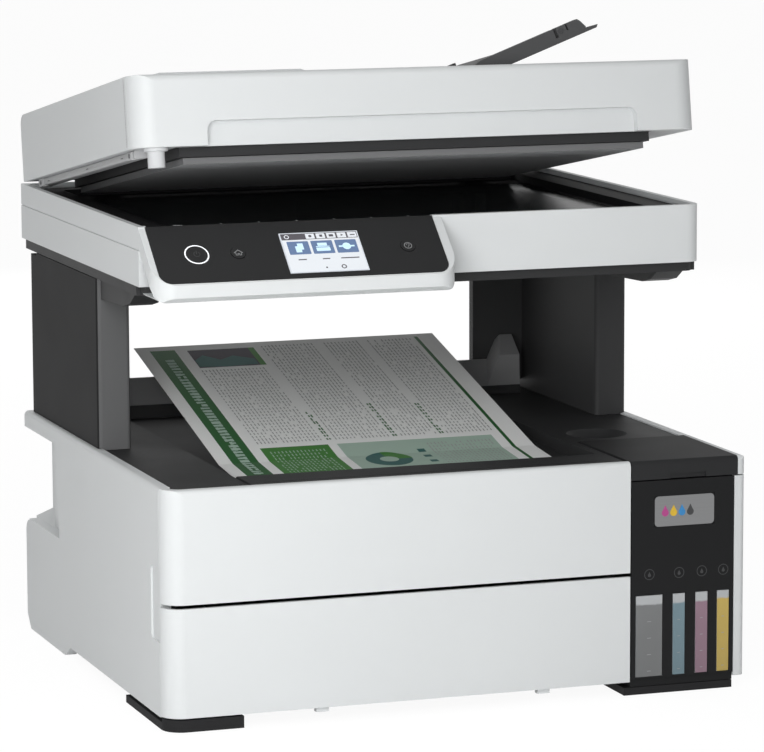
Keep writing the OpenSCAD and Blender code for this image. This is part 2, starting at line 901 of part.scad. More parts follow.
module pickup_arm() {
    color(charcoal)
        difference() {
            union() {
                bar_x([arm_x[0] - 7.5, arm_x[1] + 7.5], arm_pivot[0], arm_pivot[1], shaft_d);
                for (x = [arm_x[0], arm_x[1] - 3])
                    translate([x, arm_pivot[0], arm_pivot[1]])
                        rotate([arm_rest, 0, 0])
                            translate([0, -arm_len, -4])
                                cube([3, arm_len + 4, 8]);
                translate([arm_x[0], arm_pivot[0], arm_pivot[1]])
                    rotate([arm_rest, 0, 0])
                        translate([0, -arm_len * 0.7, -1.5])
                            cube([arm_x[1] - arm_x[0], arm_len * 0.5, 3]);
            }
            bar_x([arm_x[0] - 1, arm_x[1] + 1], pick_y, pick_z, 4 + 2 * run_gap);
        }
}

module pickup_roller() {
    color(black) {
        bar_x([arm_x[0] + 3.5, arm_x[1] - 3.5], pick_y, pick_z, pick_d);
        bar_x([arm_x[0] - 1, arm_x[1] + 1], pick_y, pick_z, 4);
    }
}

module maintenance_box() {
    color(grey) {
        difference() {
            span(waste_x, [base_back - 96, base_back - 1], waste_z);
            // finger pull
            span([waste_x[0] + 16, waste_x[1] - 16], [base_back - 8, far], [waste_z[0] + 12, waste_z[1] - 12]);
        }
    }
}

module main_board() {
    board_z = [16, 72];
    color("darkgreen") {
        span([inner_x - 5.5, inner_x - 4], [frame_y[0] + 32, 60], board_z);
        for (p = [[-20, 24], [4, 40], [26, 24]])
            span([inner_x - 9, inner_x - 5.4], [p[0], p[0] + 14], [p[1], p[1] + 14]);
        // stand-offs
        for (y = [-26, 52], z = [board_z[0] + 5, board_z[1] - 5])
            translate([inner_x - 4.1, y, z])
                rotate([0, 90, 0])
                    cylinder(h = 4.1 - seat, d = 5);
    }
}

module power_supply() {
    color(grey)
        difference() {
            span([bay_x + 4, 164], [frame_y[0] + 4, 52], [floor_top + seat, 66]);
            for (i = [0:9])
                span([bay_x + 12, 156], [-50 + i * 10, -46 + i * 10], [64, far]);
        }
}

module power_inlet() {
    mid = [(inlet_x[0] + inlet_x[1]) / 2, (inlet_z[0] + inlet_z[1]) / 2];
    color(black)
        difference() {
            union() {
                span([inlet_x[0] + seat, inlet_x[1] - seat], [base_back - 18, base_back - 0.5],
                    [inlet_z[0] + seat, inlet_z[1] - seat]);
                // flange behind the rear cover
                span([inlet_x[0] - 2.5, inlet_x[1] + 2.5], [base_back - wall - seat - 2, base_back - wall - seat],
                    [inlet_z[0] - 2.5, inlet_z[1] + 2.5]);
            }
            // figure-of-eight mouth with two pins
            translate([0, base_back - 14, 0])
                along_y([0, far])
                    round_rect([mid[0] - 8, mid[0] + 8], [mid[1] - 4, mid[1] + 4], 3.9);
        }
    color(steel)
        for (s = SIDES)
            bar_y([base_back - 14.5, base_back - 4], mid[0] + s * 4.2, mid[1], 2.2);
}

// ---- base: paper cassette ---------------------------------------------------------------------

tray_x = [-170, bay_x - wall - 2];
tray_floor = tray_z + 2;
tray_top = tray_z + tray_h;

module cassette_tray() {
    color(charcoal)
        difference() {
            span(tray_x, [tray_front, tray_back], [tray_z, tray_top]);
            span([tray_x[0] + wall, tray_x[1] - wall], [tray_front + wall, tray_back - wall],
                [tray_floor, far]);
            // the side walls drop towards the back, where the rollers reach in
            for (x = tray_x)
                along_x([x - 6, x + 6])
                    polygon([[30, tray_top + 1], [60, tray_top - 10], [tray_back - 12, tray_top - 10],
                        [tray_back - 4, tray_top + 1]]);
        }
    // pivot of the pinion
    color(charcoal)
        translate([pinion_x, guide_mid_y, tray_floor - eps])
            cylinder(h = rack_h + 1, d = 5);
    // ribs under the rear edge of the paper
    color(charcoal)
        for (x = [path_x - 80, path_x + 60])
            span([x, x + 20], [tray_back - 26, tray_back - 8], [tray_floor - eps, tray_floor + 1.2]);
}

module cassette_front() {
    color(white) {
        front_wall([skirt_h, cassette_top], wall);
        // two nubs under the lower edge
        for (x = [-89, 54])
            span([x - 4, x + 4], [front_y + 2, front_y + wall + 4], [skirt_h - 3, tray_z - seat]);
        // bracket that carries the tray
        for (x = [tray_x[0] + 30, tray_x[1] - 50])
            span([x, x + 20], [front_y + wall - eps, front_y + wall + 9], [skirt_h, tray_z - seat]);
    }
}

guide_y = [-66, 26];
guide_mid_y = (guide_y[0] + guide_y[1]) / 2;
guide_floor = tray_floor + seat;
rack_h = 3.4;
pinion_r = rack_module * pinion_teeth / 2;
rack_depth = 6;
rack_pitch = PI * rack_module;
pinion_x = path_x;

// A rack along X, whose teeth point to +Y; it starts at a tooth's middle at x = 0
module rack_plan(x, back) {
    n = [ceil(x[0] / rack_pitch), floor(x[1] / rack_pitch)];
    root = 1.1 * rack_module;
    tip = 0.8 * rack_module;
    translate([x[0], -root - back])
        square([x[1] - x[0], back]);
    for (i = [n[0] + 1:n[1] - 1])
        translate([i * rack_pitch, 0])
            polygon([[-0.27 * rack_pitch, -root - 0.1], [-0.20 * rack_pitch, 0], [-0.09 * rack_pitch, tip],
                [0.09 * rack_pitch, tip], [0.20 * rack_pitch, 0], [0.27 * rack_pitch, -root - 0.1]]);
}

// Room for the other guide's rack, which slides through under the wall
module other_rack() {
    span([-far, 0], [pinion_r - 2, pinion_r + 1.1 * rack_module + rack_depth + slide_gap],
        [guide_floor - 1, guide_floor + rack_h + slide_gap]);
}

// The left guide in its own place; the right one is turned half round the pinion
module edge_guide() {
    wall_x = -sheet_w / 2 - seat;
    translate([pinion_x, guide_mid_y, 0]) {
        difference() {
            span([wall_x - 2.4, wall_x], [guide_y[0] - guide_mid_y, guide_y[1] - guide_mid_y],
                [guide_floor, tray_top - 4]);
            // finger hole in the wall
            span([wall_x - 4, wall_x + 2], [22, 38], [guide_floor + 12, tray_top - 10]);
            other_rack();
        }
        // foot and ribs outside the paper
        difference() {
            span([wall_x - 9, wall_x - 2.3], [guide_y[0] - guide_mid_y + 4, guide_y[1] - guide_mid_y - 4],
                [guide_floor, guide_floor + 2.4]);
            other_rack();
        }
        for (y = [-36, -4, 36])
            along_y([y, y + 2])
                polygon([[wall_x - 8.5, guide_floor + 2], [wall_x - 2.3, guide_floor + 2],
                    [wall_x - 2.3, guide_floor + 24]]);
        // rack towards the pinion, and the arm that holds it
        translate([0, -pinion_r, guide_floor])
            linear_extrude(rack_h)
                rack_plan([wall_x - 2, 26], rack_depth);
    }
}

module left_edge_guide() {
    color(grey)
        edge_guide();
}

module right_edge_guide() {
    color(grey)
        translate([2 * pinion_x, 2 * guide_mid_y, 0])
            rotate([0, 0, 180])
                edge_guide();
}

module guide_pinion() {
    color(grey)
        translate([pinion_x, guide_mid_y, guide_floor]) {
            difference() {
                linear_extrude(rack_h)
                    rotate(90 + 180 / pinion_teeth)
                        gear_plan(pinion_teeth, rack_module);
                translate([0, 0, -1])
                    cylinder(h = rack_h + 2, d = 5 + 2 * run_gap);
            }
        }
}

// ---- base: printed sheet and its support ------------------------------------------------------

sheet_x = [path_x - sheet_w / 2, path_x + sheet_w / 2];
sheet_low = [lip_front + 12, base_h - 7.2];
sheet_mid = [-112, recess_z(-112) + seat];
sheet_bend = [-66.2, 141.4];

module printed_sheet() {
    flat = sheet_l - 100;
    path = [sheet_low, sheet_mid, sheet_bend,
        sheet_bend + flat * [cos(sheet_slope), sin(sheet_slope)]];
    color("#e9ece8")
        along_x(sheet_x)
            polygon(concat(path, [for (i = [3:-1:0]) path[i] + [0, sheet_t]]));
}

support_x = [-150, 152];
support_y = [riser_y, riser_y + 20];

module paper_support() {
    fin_x = support_x[1];
    color(grey) {
        along_x(support_x)
            polygon([[support_y[0], flap_foot_z], [support_y[0] + 4, flap_foot_z],
                [support_y[1], 163], [support_y[1], 167], [support_y[1] - 2, 167]]);
        // fin at the right end, a stop beside the sheets
        intersection() {
            along_x([fin_x - 24, fin_x])
                polygon([[support_y[0], flap_foot_z], [support_y[1], flap_foot_z],
                    [support_y[1], 180], [support_y[1] - 4, 183.9], [support_y[0] + 1, 172]]);
            along_y([-far, far])
                polygon([[fin_x - 24, flap_foot_z], [fin_x, flap_foot_z], [fin_x, 184], [fin_x - 9, 184]]);
        }
    }
}

// ---- scanner unit ------------------------------------------------------------------------------

sw = scan_w / 2;
base_z = column_top + seat;
base_top = 284;
base_half = sw - 3;
rim = 4;
shell_back = back_y;
mat_recess_x = 157.5;
mat_recess_y = [-103.5, 154.5];
glass_t = 2.7;
glass_rest = 2.5;
peg_at = [-168, -99];
peg_d = 10.5;
hinge_leg_x = [120, 140];
hinge_leg_y = [156, 167];
lid_axis = [160, 308.5];
bezel_front = -147.5;
panel_top = [-110.5, 297];

// Where a hinge leg passes through, on both sides
module leg_holes(z) {
    for (s = SIDES)
        translate([s * (hinge_leg_x[0] + hinge_leg_x[1]) / 2, 0, 0])
            span([-10 - slide_gap, 10 + slide_gap], [hinge_leg_y[0] - slide_gap, hinge_leg_y[1] + slide_gap], z);
}

module scanner_base() {
    ear_mid = column_x - 10;
    color(charcoal)
        difference() {
            union() {
                difference() {
                    along_z([base_z, base_top])
                        round_front([-base_half, base_half], [scan_front + 5, shell_back - wall - seat], 6);
                    span([-base_half + wall, base_half - wall],
                        [scan_front + 5 + wall, shell_back - 2 * wall - seat], [base_z + wall, far]);
                }
                // ribs under both sides, in front of the columns
                for (s = SIDES)
                    mirror([s < 0 ? 1 : 0, 0, 0])
                        along_x([base_half - 18, base_half])
                            polygon([[right_column_y - 1, base_z + 1], [right_column_y - 1, 240.5],
                                [-66, 243.5], [-80, 246.5], [-90, 252.5], [-94, base_z + 1]]);
                // edge under the shell on both sides
                for (s = SIDES)
                    mirror([s < 0 ? 1 : 0, 0, 0])
                        span([base_half - wall, sw - 0.8], [scan_front + 9, shell_back - wall - seat - 5],
                            [base_z, scan_z - seat]);
                // lugs of the hinge
                for (s = SIDES, d = SIDES)
                    translate([s * ear_mid + d * (hinge_ear_t / 2 + 2.3), 0, 0])
                        span([-1.5, 1.5], [hinge_axis[0] - 10, shell_back - wall - seat - 1], [base_z, hinge_axis[1] + 9]);
                // bosses under the glass
                for (x = [-120, 0, 120], y = [-99, 135])
                    translate([x, y, base_z + 1])
                        cylinder(h = glass_z - glass_t - 4 - base_z, d = 8);
            }
            // slots that the columns' ears come up through
            for (s = SIDES)
                translate([s * ear_mid, 0, 0])
                    span([-hinge_ear_t / 2 - 0.8, hinge_ear_t / 2 + 0.8], [hinge_axis[0] - 14, far],
                        [base_z - 1, hinge_axis[1] + 11]);
            // the left column reaches further forward, into its rib
            span([-far, 0], [left_column_y - 1.5, right_column_y], [0, base_z]);
        }
    color(steel)
        for (s = SIDES)
            bar_x([s * ear_mid - hinge_ear_t / 2 - 3, s * ear_mid + hinge_ear_t / 2 + 3],
                hinge_axis[0], hinge_axis[1], hinge_pin_d);
}

module scanner_shell() {
    color(white)
        difference() {
            union() {
                along_z([scan_z, scan_top])
                    round_front([-sw, sw], [scan_front, shell_back], 9);
                // square corner that the panel's bezel goes on from
                span([-sw, -sw + 9], [scan_front, scan_front + 9], [scan_z, scan_top]);
            }
            // open underside and the opening inside the rim
            along_z([scan_z - 1, scan_top - 2.5])
                round_front([-sw + wall, sw - wall], [scan_front + wall, shell_back - wall], 9 - wall);
            along_z([scan_z - 1, far])
                round_front([-sw + rim, sw - rim], [scan_front + rim, shell_back - rim], 9 - rim);
            // gap in the front rim, where the dark panel meets the glass's frame
            span(face_x, [scan_front - 1, scan_front + rim + 1], [base_top + 1, far]);
            // groove round the outside, where the upper and lower frame meet
            difference() {
                along_z([282.4, 283])
                    square(far * 2, center = true);
                along_z([0, far])
                    round_front([-sw + 0.6, far], [-far, far], 1);
            }
        }
}

module platen_frame() {
    frame_x1 = sw - rim - seat;
    top = scan_top - 2.5 - seat - 0.6;
    color(black)
        difference() {
            along_z([base_top + seat, top])
                round_front([-frame_x1, frame_x1], [scan_front + rim + seat, shell_back - rim - seat], 6);
            // recess with sloping sides, which the lid's mat drops into
            along_y(mat_recess_y)
                polygon([[-mat_recess_x, glass_z], [mat_recess_x, glass_z],
                    [mat_recess_x + 3, top + 1], [-mat_recess_x - 3, top + 1]]);
            // seats and windows of the two glasses
            for (g = GLASS) {
                span(g[0], g[1], [glass_z - glass_t - seat, far]);
                span([g[0][0] + glass_rest, g[0][1] - glass_rest],
                    [g[1][0] + glass_rest, g[1][1] - glass_rest], [0, far]);
            }
            // well for the lid's peg
            translate([peg_at[0], peg_at[1], 286])
                cylinder(h = far, d = peg_d + 2.5);
            leg_holes([0, far]);
        }
    // tongue that reaches forward to the dark panel
    color(black)
        span([face_x[0] + seat, face_x[1] - seat], [scan_front + 2.3, scan_front + rim + seat + eps],
            [base_top + 1 + seat, scan_top - 0.4]);
}

// The platen and the feeder's reading window: limits along X and Y
GLASS = [[[-146, 153], [-98, 120]], [[-156.5, -148.5], [-98, 120]]];

module platen_glass() {
    color("lightblue", 0.5)
        for (g = GLASS)
            span([g[0][0] + seat, g[0][1] - seat], [g[1][0] + seat, g[1][1] - seat],
                [glass_z - glass_t, glass_z]);
}

module scan_carriage() {
    color(black) {
        span([-172, -156], [-92, 122], [263, 280]);
        // sliding shoes on the base's floor
        for (y = [-80, 100])
            span([-168, -160], [y - 5, y + 5], [base_z + wall + seat, 263 + eps]);
    }
    color("white")
        span([-166, -162], [-88, 116], [280 - eps, 281.2]);
}

// Puts a feature on the sloping panel: X across, Y up the slope, Z outwards
module on_panel() {
    translate([0, panel_top[0], panel_top[1]])
        rotate([panel_tilt, 0, 0])
            children();
}

panel_x = [-sw, -sw + panel_w];
bezel_low = panel_top[1] + (bezel_front - panel_top[0]) * tan(panel_tilt);
face_x = [panel_x[0] + 4, panel_x[1] - 5.5];
face_y = [-47.6, -0.8];
screen_mid = [-73, -27];
power_at = [-152.6, -24.8];
home_at = [-126.7, -25];
help_at = [-18.8, -25.2];
plate_t = 2;

module panel_bezel() {
    bottom = base_z;
    back = scan_front - seat;
    color(white)
        difference() {
            intersection() {
                along_x(panel_x)
                    difference() {
                        polygon([[back, panel_top[1] - 1.5], [bezel_front, bezel_low], [bezel_front, bottom + 3],
                            [bezel_front + 4, bottom], [back, bottom]]);
                        // hollow behind the slope
                        polygon([[back + 1, panel_top[1] - 12], [bezel_front + 9, bezel_low - 5.5],
                            [bezel_front + 9, bottom + 2.5], [back + 1, bottom + 2.5]]);
                    }
                // rounded lower corners, seen from the front
                along_y([-far, far])
                    round_front(panel_x, [bottom - 0.01, far], 8);
                // rounded front corners, seen from above
                along_z([0, far])
                    round_front(panel_x, [bezel_front, far], 14);
            }
            // seat of the dark plate, and the wells of the buttons
            on_panel()
                along_z([-plate_t - seat, far])
                    round_front(face_x, [face_y[0], 2], 8);
            on_panel()
                for (b = [[power_at, power_d], [home_at, key_d], [help_at, key_d]])
                    translate([b[0][0], b[0][1], -5.4])
                        cylinder(h = far, d = b[1] + 2 * seat);
        }
}

module control_panel() {
    color(black)
        on_panel()
            difference() {
                along_z([-plate_t, 0.2])
                    round_front([face_x[0] + seat, face_x[1] - seat], [face_y[0] + seat, face_y[1]], 7.7);
                for (b = [[power_at, power_d], [home_at, key_d], [help_at, key_d]])
                    translate([b[0][0], b[0][1], -far / 2])
                        cylinder(h = far, d = b[1] + 2 * seat);
                translate([screen_mid[0] - screen_w / 2 - seat, screen_mid[1] - screen_h / 2 - seat, -1])
                    cube([screen_w + 2 * seat, screen_h + 2 * seat, far]);
            }
}

module touch_screen() {
    color("lightsteelblue")
        on_panel()
            translate([screen_mid[0] - screen_w / 2, screen_mid[1] - screen_h / 2, -1 + 0.1])
                cube([screen_w, screen_h, 1.2]);
}

// A round button on the panel
module panel_button(at, d) {
    on_panel()
        translate([at[0], at[1], -4.3])
            cylinder(h = 4.9, d = d);
}

module power_button() {
    color(grey)
        panel_button(power_at, power_d);
}

module home_button() {
    color(grey)
        panel_button(home_at, key_d);
}

module help_button() {
    color(grey)
        panel_button(help_at, key_d);
}

module lid_hinges() {
    color(steel)
        for (s = SIDES)
            mirror([s < 0 ? 1 : 0, 0, 0])
                difference() {
                    along_x(hinge_leg_x) {
                        translate(lid_axis)
                            circle(7);
                        polygon([[hinge_leg_y[0], 262], [hinge_leg_y[1], 262], [hinge_leg_y[1], lid_axis[1]],
                            [lid_axis[0] - 7, lid_axis[1]], [hinge_leg_y[0], 298]]);
                    }
                    bar_x([0, far], lid_axis[0], lid_axis[1], 8 + 2 * run_gap);
                }
}

// ---- lid and document feeder --------------------------------------------------------------------

lid_top = lid_z + lid_h;
crown_top = lid_top + 2.5;
holder_half = 153.4;
holder_y = [-99, 150];
pocket_x = [-178.6, -61.4];
pocket_y = [-88.6, 150.6];
chamber_z = 322;
well_z = 330;
ledge_x = [-58, 34];
ledge_z = [333.5, 336];
adf_axis = [38, 337];
cover_axis = [-174, 340];
adf_x1 = 138;
adf_w = 96.1;
guide_half = 105.3;
guide_x = [-48, 24];
key_x = [-32, 8];

// Tips the closed lid up to where it rests
module in_lid() {
    translate([0, lid_axis[0], lid_axis[1]])
        rotate([-lid_open, 0, 0])
            translate([0, -lid_axis[0], -lid_axis[1]])
                children();
}

module lid_shell() {
    corner = 14;
    color(white)
        in_lid()
            difference() {
                intersection() {
                    along_z([lid_z, lid_top])
                        round_front([-sw, sw], [lid_front, lid_back], corner);
                    // round upper edges in front and behind
                    along_x([-far, far])
                        crest(lid_front, lid_top, 4);
                    mirror([0, 1, 0])
                        along_x([-far, far])
                            crest(-lid_back, lid_top, 8);
                }
                // hollow underside, left under the feeder's chamber and right under the well
                span([-sw + wall, pocket_x[1] + 1], [lid_front + 9, lid_back - wall], [lid_z - 1, chamber_z - wall]);
                span([pocket_x[1], sw - wall], [lid_front + 9, lid_back - wall], [lid_z - 1, well_z - wall]);
                // finger recess in the front
                translate([2, lid_front, lid_z])
                    along_y([-1, 6])
                        round_rect([-grip_w / 2, grip_w / 2], [-8, grip_h], 6);
                // room for the foot of the peg
                translate([peg_at[0], peg_at[1], lid_z - 1])
                    cylinder(h = wall + 1 + seat, d = peg_d + 4 + 2 * seat);
                // feeder's chamber
                span(pocket_x, pocket_y, [chamber_z, far]);
                // output well, and the slot that leads to it under the ledge
                span([ledge_x[0], adf_x1 + 1], [-88, 150], [ledge_z[1], far]);
                span([pocket_x[1] - 1, adf_x1 + 1], [-88, 150], [well_z, ledge_z[0]]);
                span([ledge_x[1], adf_x1 + 1], [-88, 150], [well_z, far]);
                // mouth that the sheets go in at, under the cover's edge
                span([pocket_x[1] - 1, ledge_x[0] + 1], [-80, 142], [ledge_z[1], far]);
                // grooves that the edge guides run in
                for (x = key_x)
                    span([x - 2.5, x + 2.5], [-80, 142], [ledge_z[0] - 1, ledge_z[1] + 1]);
                // bearings of the cover and of the input tray
                bar_y([pocket_y[0] - 4, pocket_y[1] + 4], cover_axis[0], cover_axis[1] - 1.5, 4 + 2 * run_gap);
                bar_y([-88 - 4, 150 + 4], adf_axis[0], adf_axis[1], 4 + 2 * run_gap);
                // openings for the hinges
                for (s = SIDES)
                    translate([s * (hinge_leg_x[0] + hinge_leg_x[1]) / 2, 0, 0])
                        span([-12, 12], [lid_axis[0] - 9, far], [lid_z - 1, lid_axis[1] + 9]);
                // joint line of the wrapped front on both sides
                for (s = SIDES)
                    translate([s * sw, -95.2, lid_z])
                        cube([1.2, 0.8, 2 * lid_h], center = true);
            }
    // lugs of the separation roller
    color(grey)
        in_lid()
            for (y = [-26, 82])
                difference() {
                    span([-95, -85], [y, y + 4], [chamber_z - eps, 337]);
                    bar_y([y - 1, y + 5], -90, 332, 5 + 2 * run_gap);
                }
}

module lid_base() {
    color("#c9cccd")
        in_lid()
            difference() {
                union() {
                    span([-sw + wall + seat, sw - wall - seat], [lid_front + 9 + seat, lid_back - wall - seat],
                        [lid_z, lid_z + wall]);
                    span([-holder_half, holder_half], holder_y, [lid_z - 6, lid_z + eps]);
                    // lugs and pins of the hinges
                    for (x = [-145.5, -114.5, 114.5, 145.5])
                        span([x - 2.5, x + 2.5], [lid_axis[0] - 8, lid_back - wall - seat], [lid_z, lid_axis[1] + 8]);
                    for (s = SIDES)
                        translate([s * 130, 0, 0])
                            bar_x([-14, 14], lid_axis[0], lid_axis[1], 8);
                    // peg that drops into the scanner's frame
                    translate([peg_at[0], peg_at[1], lid_z - 12])
                        cylinder(h = 12 + wall, d = peg_d);
                    translate([peg_at[0], peg_at[1], lid_z - 2])
                        cylinder(h = 2 + wall, d = peg_d + 4);
                }
                difference() {
                    for (s = SIDES)
                        translate([s * 130, 0, 0])
                            span([-11, 11], [lid_axis[0] - 9, far], [0, lid_z + wall + 1]);
                    for (s = SIDES)
                        translate([s * 130, 0, 0])
                            bar_x([-12, 12], lid_axis[0], lid_axis[1], 8);
                }
            }
}

module lid_mat() {
    color("#b9bbbd")
        in_lid()
            span([-holder_half + 3, holder_half - 3], [holder_y[0] + 3, holder_y[1] - 3],
                [lid_z - 10.2, lid_z - 6 - seat]);
}

module adf_cover() {
    x1 = pocket_x[1] - 0.6;
    y = [pocket_y[0] + 0.6, pocket_y[1] - 0.6];
    color("#d4d7d9")
        in_lid() {
            along_y(y)
                difference() {
                    union() {
                        translate([cover_axis[0], cover_axis[1] - 1.5])
                            circle(4);
                        polygon([[cover_axis[0], cover_axis[1] + 2.5], [cover_axis[0] + 14, crown_top],
                            [x1 - 8, crown_top], [x1, crown_top - 3], [x1, lid_top - 2], [x1 - 2.5, lid_top - 2],
                            [x1 - 2.5, crown_top - 5], [cover_axis[0] + 14, crown_top - 3],
                            [cover_axis[0] + 2, cover_axis[1] - 2]]);
                    }
                }
            // stub pins
            bar_y([y[0] - 3.6, y[1] + 3.6], cover_axis[0], cover_axis[1] - 1.5, 4);
        }
}

module adf_roller() {
    color(grey)
        in_lid() {
            bar_y([-26, 86], -90, 332, 5);
            for (y = [-14, 50])
                bar_y([y, y + 24], -90, 332, 14);
        }
}

module adf_tray() {
    under = -3.1;
    rim_top = 6.7;
    color(grey)
        in_lid()
            translate([adf_axis[0], 0, adf_axis[1]])
                rotate([0, -adf_open, 0]) {
                    // plate that the sheets lie on
                    along_y([-86, 148])
                        polygon([[0, under], [adf_w - 1.5, under], [adf_w, -1.4], [adf_w - 8, -0.4], [0, -0.4]]);
                    // tall side at the front, with its slots
                    along_y([-86, -79])
                        difference() {
                            polygon([[0, under + 1], [adf_w - 12, under + 1], [adf_w - 8, 0], [adf_w - 10.4, 4.9],
                                [adf_w - 12, rim_top], [14, rim_top], [0, 3]]);
                            translate([adf_w - 29.7, 0.5])
                                square([2.2, far]);
                            translate([adf_w - 20.9, 2.5])
                                square([1.2, far]);
                        }
                    // low side at the back
                    along_y([142, 148])
                        polygon([[0, under + 1], [adf_w - 12, under + 1], [adf_w - 12, 2], [0, 2]]);
                    // hinge barrel and its pins
                    bar_y([-87.4, 149.4], 0, 0, 6);
                    bar_y([-91.6, 153.6], 0, 0, 4);
                }
}

// An edge guide of the feeder: 1 at the back, -1 in front
module adf_guide(s) {
    mid = (pocket_y[0] + pocket_y[1]) / 2;
    in_lid()
        translate([0, mid, 0])
            mirror([0, s < 0 ? 1 : 0, 0]) {
                span(guide_x, [guide_half, guide_half + 2.5], [ledge_z[1] + seat, ledge_z[1] + 9]);
                span([guide_x[0] + 8, guide_x[1] - 8], [guide_half - 24, guide_half + 2.5], [ledge_z[1] + seat, ledge_z[1] + 2]);
                for (x = key_x)
                    span([x - 2, x + 2], [guide_half - 16, guide_half - 4], [ledge_z[0], ledge_z[1] + 1]);
            }
}

module adf_front_guide() {
    color(grey)
        adf_guide(-1);
}

module adf_rear_guide() {
    color(grey)
        adf_guide(1);
}

// ---- assembly -------------------------------------------------------------------------------

bottom_chassis();
feet();
left_side_cover();
right_side_cover();
front_cover();
rear_cover();
output_deck();
exit_guide();
tank_housing();
ink_tanks();
badge_plate();
left_column();
right_column();
power_inlet();
power_supply();
main_board();
mechanism_frame();
drive_motors();
timing_belt();
platen();
printed_sheet();
print_carriage();
print_head();
feed_roller();
exit_roller();
pickup_arm();
pickup_roller();
maintenance_box();
paper_support();
cassette_tray();
cassette_front();
left_edge_guide();
right_edge_guide();
guide_pinion();
tank_lid();
black_cap();
cyan_cap();
magenta_cap();
yellow_cap();
scanner_base();
scanner_shell();
platen_glass();
panel_bezel();
control_panel();
touch_screen();
power_button();
home_button();
help_button();
scan_carriage();
platen_frame();
lid_hinges();
lid_shell();
lid_base();
lid_mat();
adf_cover();
adf_roller();
adf_tray();
adf_front_guide();
adf_rear_guide();
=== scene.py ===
"""Ink-tank inkjet printer: finishes, printed details, inks and studio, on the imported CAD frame."""
import math
from functools import cache

import bmesh
import bpy
from bpy.props import FloatProperty, FloatVectorProperty, IntProperty, PointerProperty
from bpy.types import Node, NodeSocket, Operator, Panel, PropertyGroup
from mathutils import Matrix, Vector
from mathutils.bvhtree import BVHTree


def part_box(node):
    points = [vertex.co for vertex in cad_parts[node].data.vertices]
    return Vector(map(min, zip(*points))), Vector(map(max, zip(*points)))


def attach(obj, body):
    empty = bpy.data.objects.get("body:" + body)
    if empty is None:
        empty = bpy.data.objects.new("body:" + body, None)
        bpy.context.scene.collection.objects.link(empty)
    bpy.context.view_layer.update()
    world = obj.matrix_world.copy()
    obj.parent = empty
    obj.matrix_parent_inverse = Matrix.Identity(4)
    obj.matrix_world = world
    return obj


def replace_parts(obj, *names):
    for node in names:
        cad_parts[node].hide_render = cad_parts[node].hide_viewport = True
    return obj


bl_info = {
    "name": "Ink-tank inkjet printer",
    "version": (1, 0, 0),
    "blender": (4, 5, 0),
    "location": "3D View > Sidebar > Printer",
    "description": "Dresses an ink-tank printer with its finishes, prints, inks and studio",
    "category": "Object",
}

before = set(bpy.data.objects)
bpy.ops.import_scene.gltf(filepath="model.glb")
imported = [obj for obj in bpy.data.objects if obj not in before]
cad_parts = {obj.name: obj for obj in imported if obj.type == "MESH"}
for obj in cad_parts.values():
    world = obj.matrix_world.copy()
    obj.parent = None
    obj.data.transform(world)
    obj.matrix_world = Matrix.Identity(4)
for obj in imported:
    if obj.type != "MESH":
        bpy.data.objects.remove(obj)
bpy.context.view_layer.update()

MM = 0.001
FINISH = {}
# In metres: half the width over which two colours of one moulding meet, the ink's floor, and
# how near the corners of a CAD node's triangles are to be one
EDGE = 0.00005
INK_FLOOR = 0.011
MERGE = 0.000001

# ---- places on the printer, in millimetres and degrees ----

PANEL_AT = (-110.5, 297.0)
PANEL_TILT = 40.86
LID_AXIS = (160.0, 308.5)
LID_OPEN = 9.5
TRAY_AXIS = (38.0, 337.0)
TRAY_OPEN = 20.3
# On the control panel, from its middle: (across, up the slope)
SCREEN_AT = (-73.0, -27.0)
SCREEN_HALF = (24.2, 15.5)
POWER_AT = (-152.6, -24.8)
HOME_AT = (-126.7, -25.0)
HELP_AT = (-18.8, -25.2)
BUTTON_SIGN = (0.595, 0.66)
FRONT_Y = -173.5
# Tank windows: name, left and right edge, the ink's colour and what its level adds, in metres
WINDOWS = (
    ("black_ink", 114.3, 132.0, (0.145, 0.15, 0.152), 0.0),
    ("cyan_ink", 139.0, 147.1, (0.130, 0.205, 0.240), 0.0),
    ("magenta_ink", 154.2, 162.4, (0.235, 0.140, 0.185), 0.0),
    ("yellow_ink", 168.8, 176.8, (0.46, 0.33, 0.070), 0.001),
)
WINDOW_Z = (11.2, 62.2)
SIGN_Z = 75.4
# The sheet's path from the exit to its far end: (y, z) of its upper face
SHEET_PATH = ((-156.2, 139.5), (-112.0, 137.32), (-66.2, 141.7), (124.95, 189.36))
SHEET_LEFT = -121.0
# The lid's wiring channel: left, right, low, high, front and back
CHANNEL = (-178.4, -169.6, 294.5, 299.45, -87.0, 148.0)
# The rear corners that the grips take: from this far out, this far back, between these heights
GRIP_CUT_X, GRIP_CUT_Y, GRIP_CUT_Z = (167.2, 190), (60, 200), (70, 150)
# The grips' lining and its floor: (x, y), the lining's heights, and the floor's outer height
# and slope
GRIP_WALL = ((179.4, 65), (179.4, 114), (169.0, 128), (169.0, 158.8), (167.4, 158.8),
    (167.4, 127), (177.6, 113), (177.6, 65))
GRIP_FLOOR = ((180.4, 73), (179.4, 114), (169.0, 128), (169.0, 158.8), (180.4, 158.8))
GRIP_Z = (70.2, 133.2)
GRIP_EDGE, GRIP_SLOPE = 75.0, 0.4
# The lid's seams: height from and to, front and back edge, and how far out the search starts
SEAM_Z = (298.9, 385.2)
SEAM_Y = (-91.2, -90.75)
SEAM_START = 250
SEAM_STEPS = 40
# In metres: how far the search reaches, how far out it counts, and how proud a seam stands
SEAM_REACH, SEAM_OUT, SEAM_LIFT = 0.2, 0.17, 0.00004
# The rear cover's screws: (x, z), and where their heads start and how high they are
REAR_SCREWS = ((-170, 20), (-60, 20), (60, 20), (104, 66), (-120, 124), (0, 126), (120, 124),
    (158, 124))
SCREW_FOOT, SCREW_HEIGHT = -0.2, 1.6

# ---- the studio, in metres ----

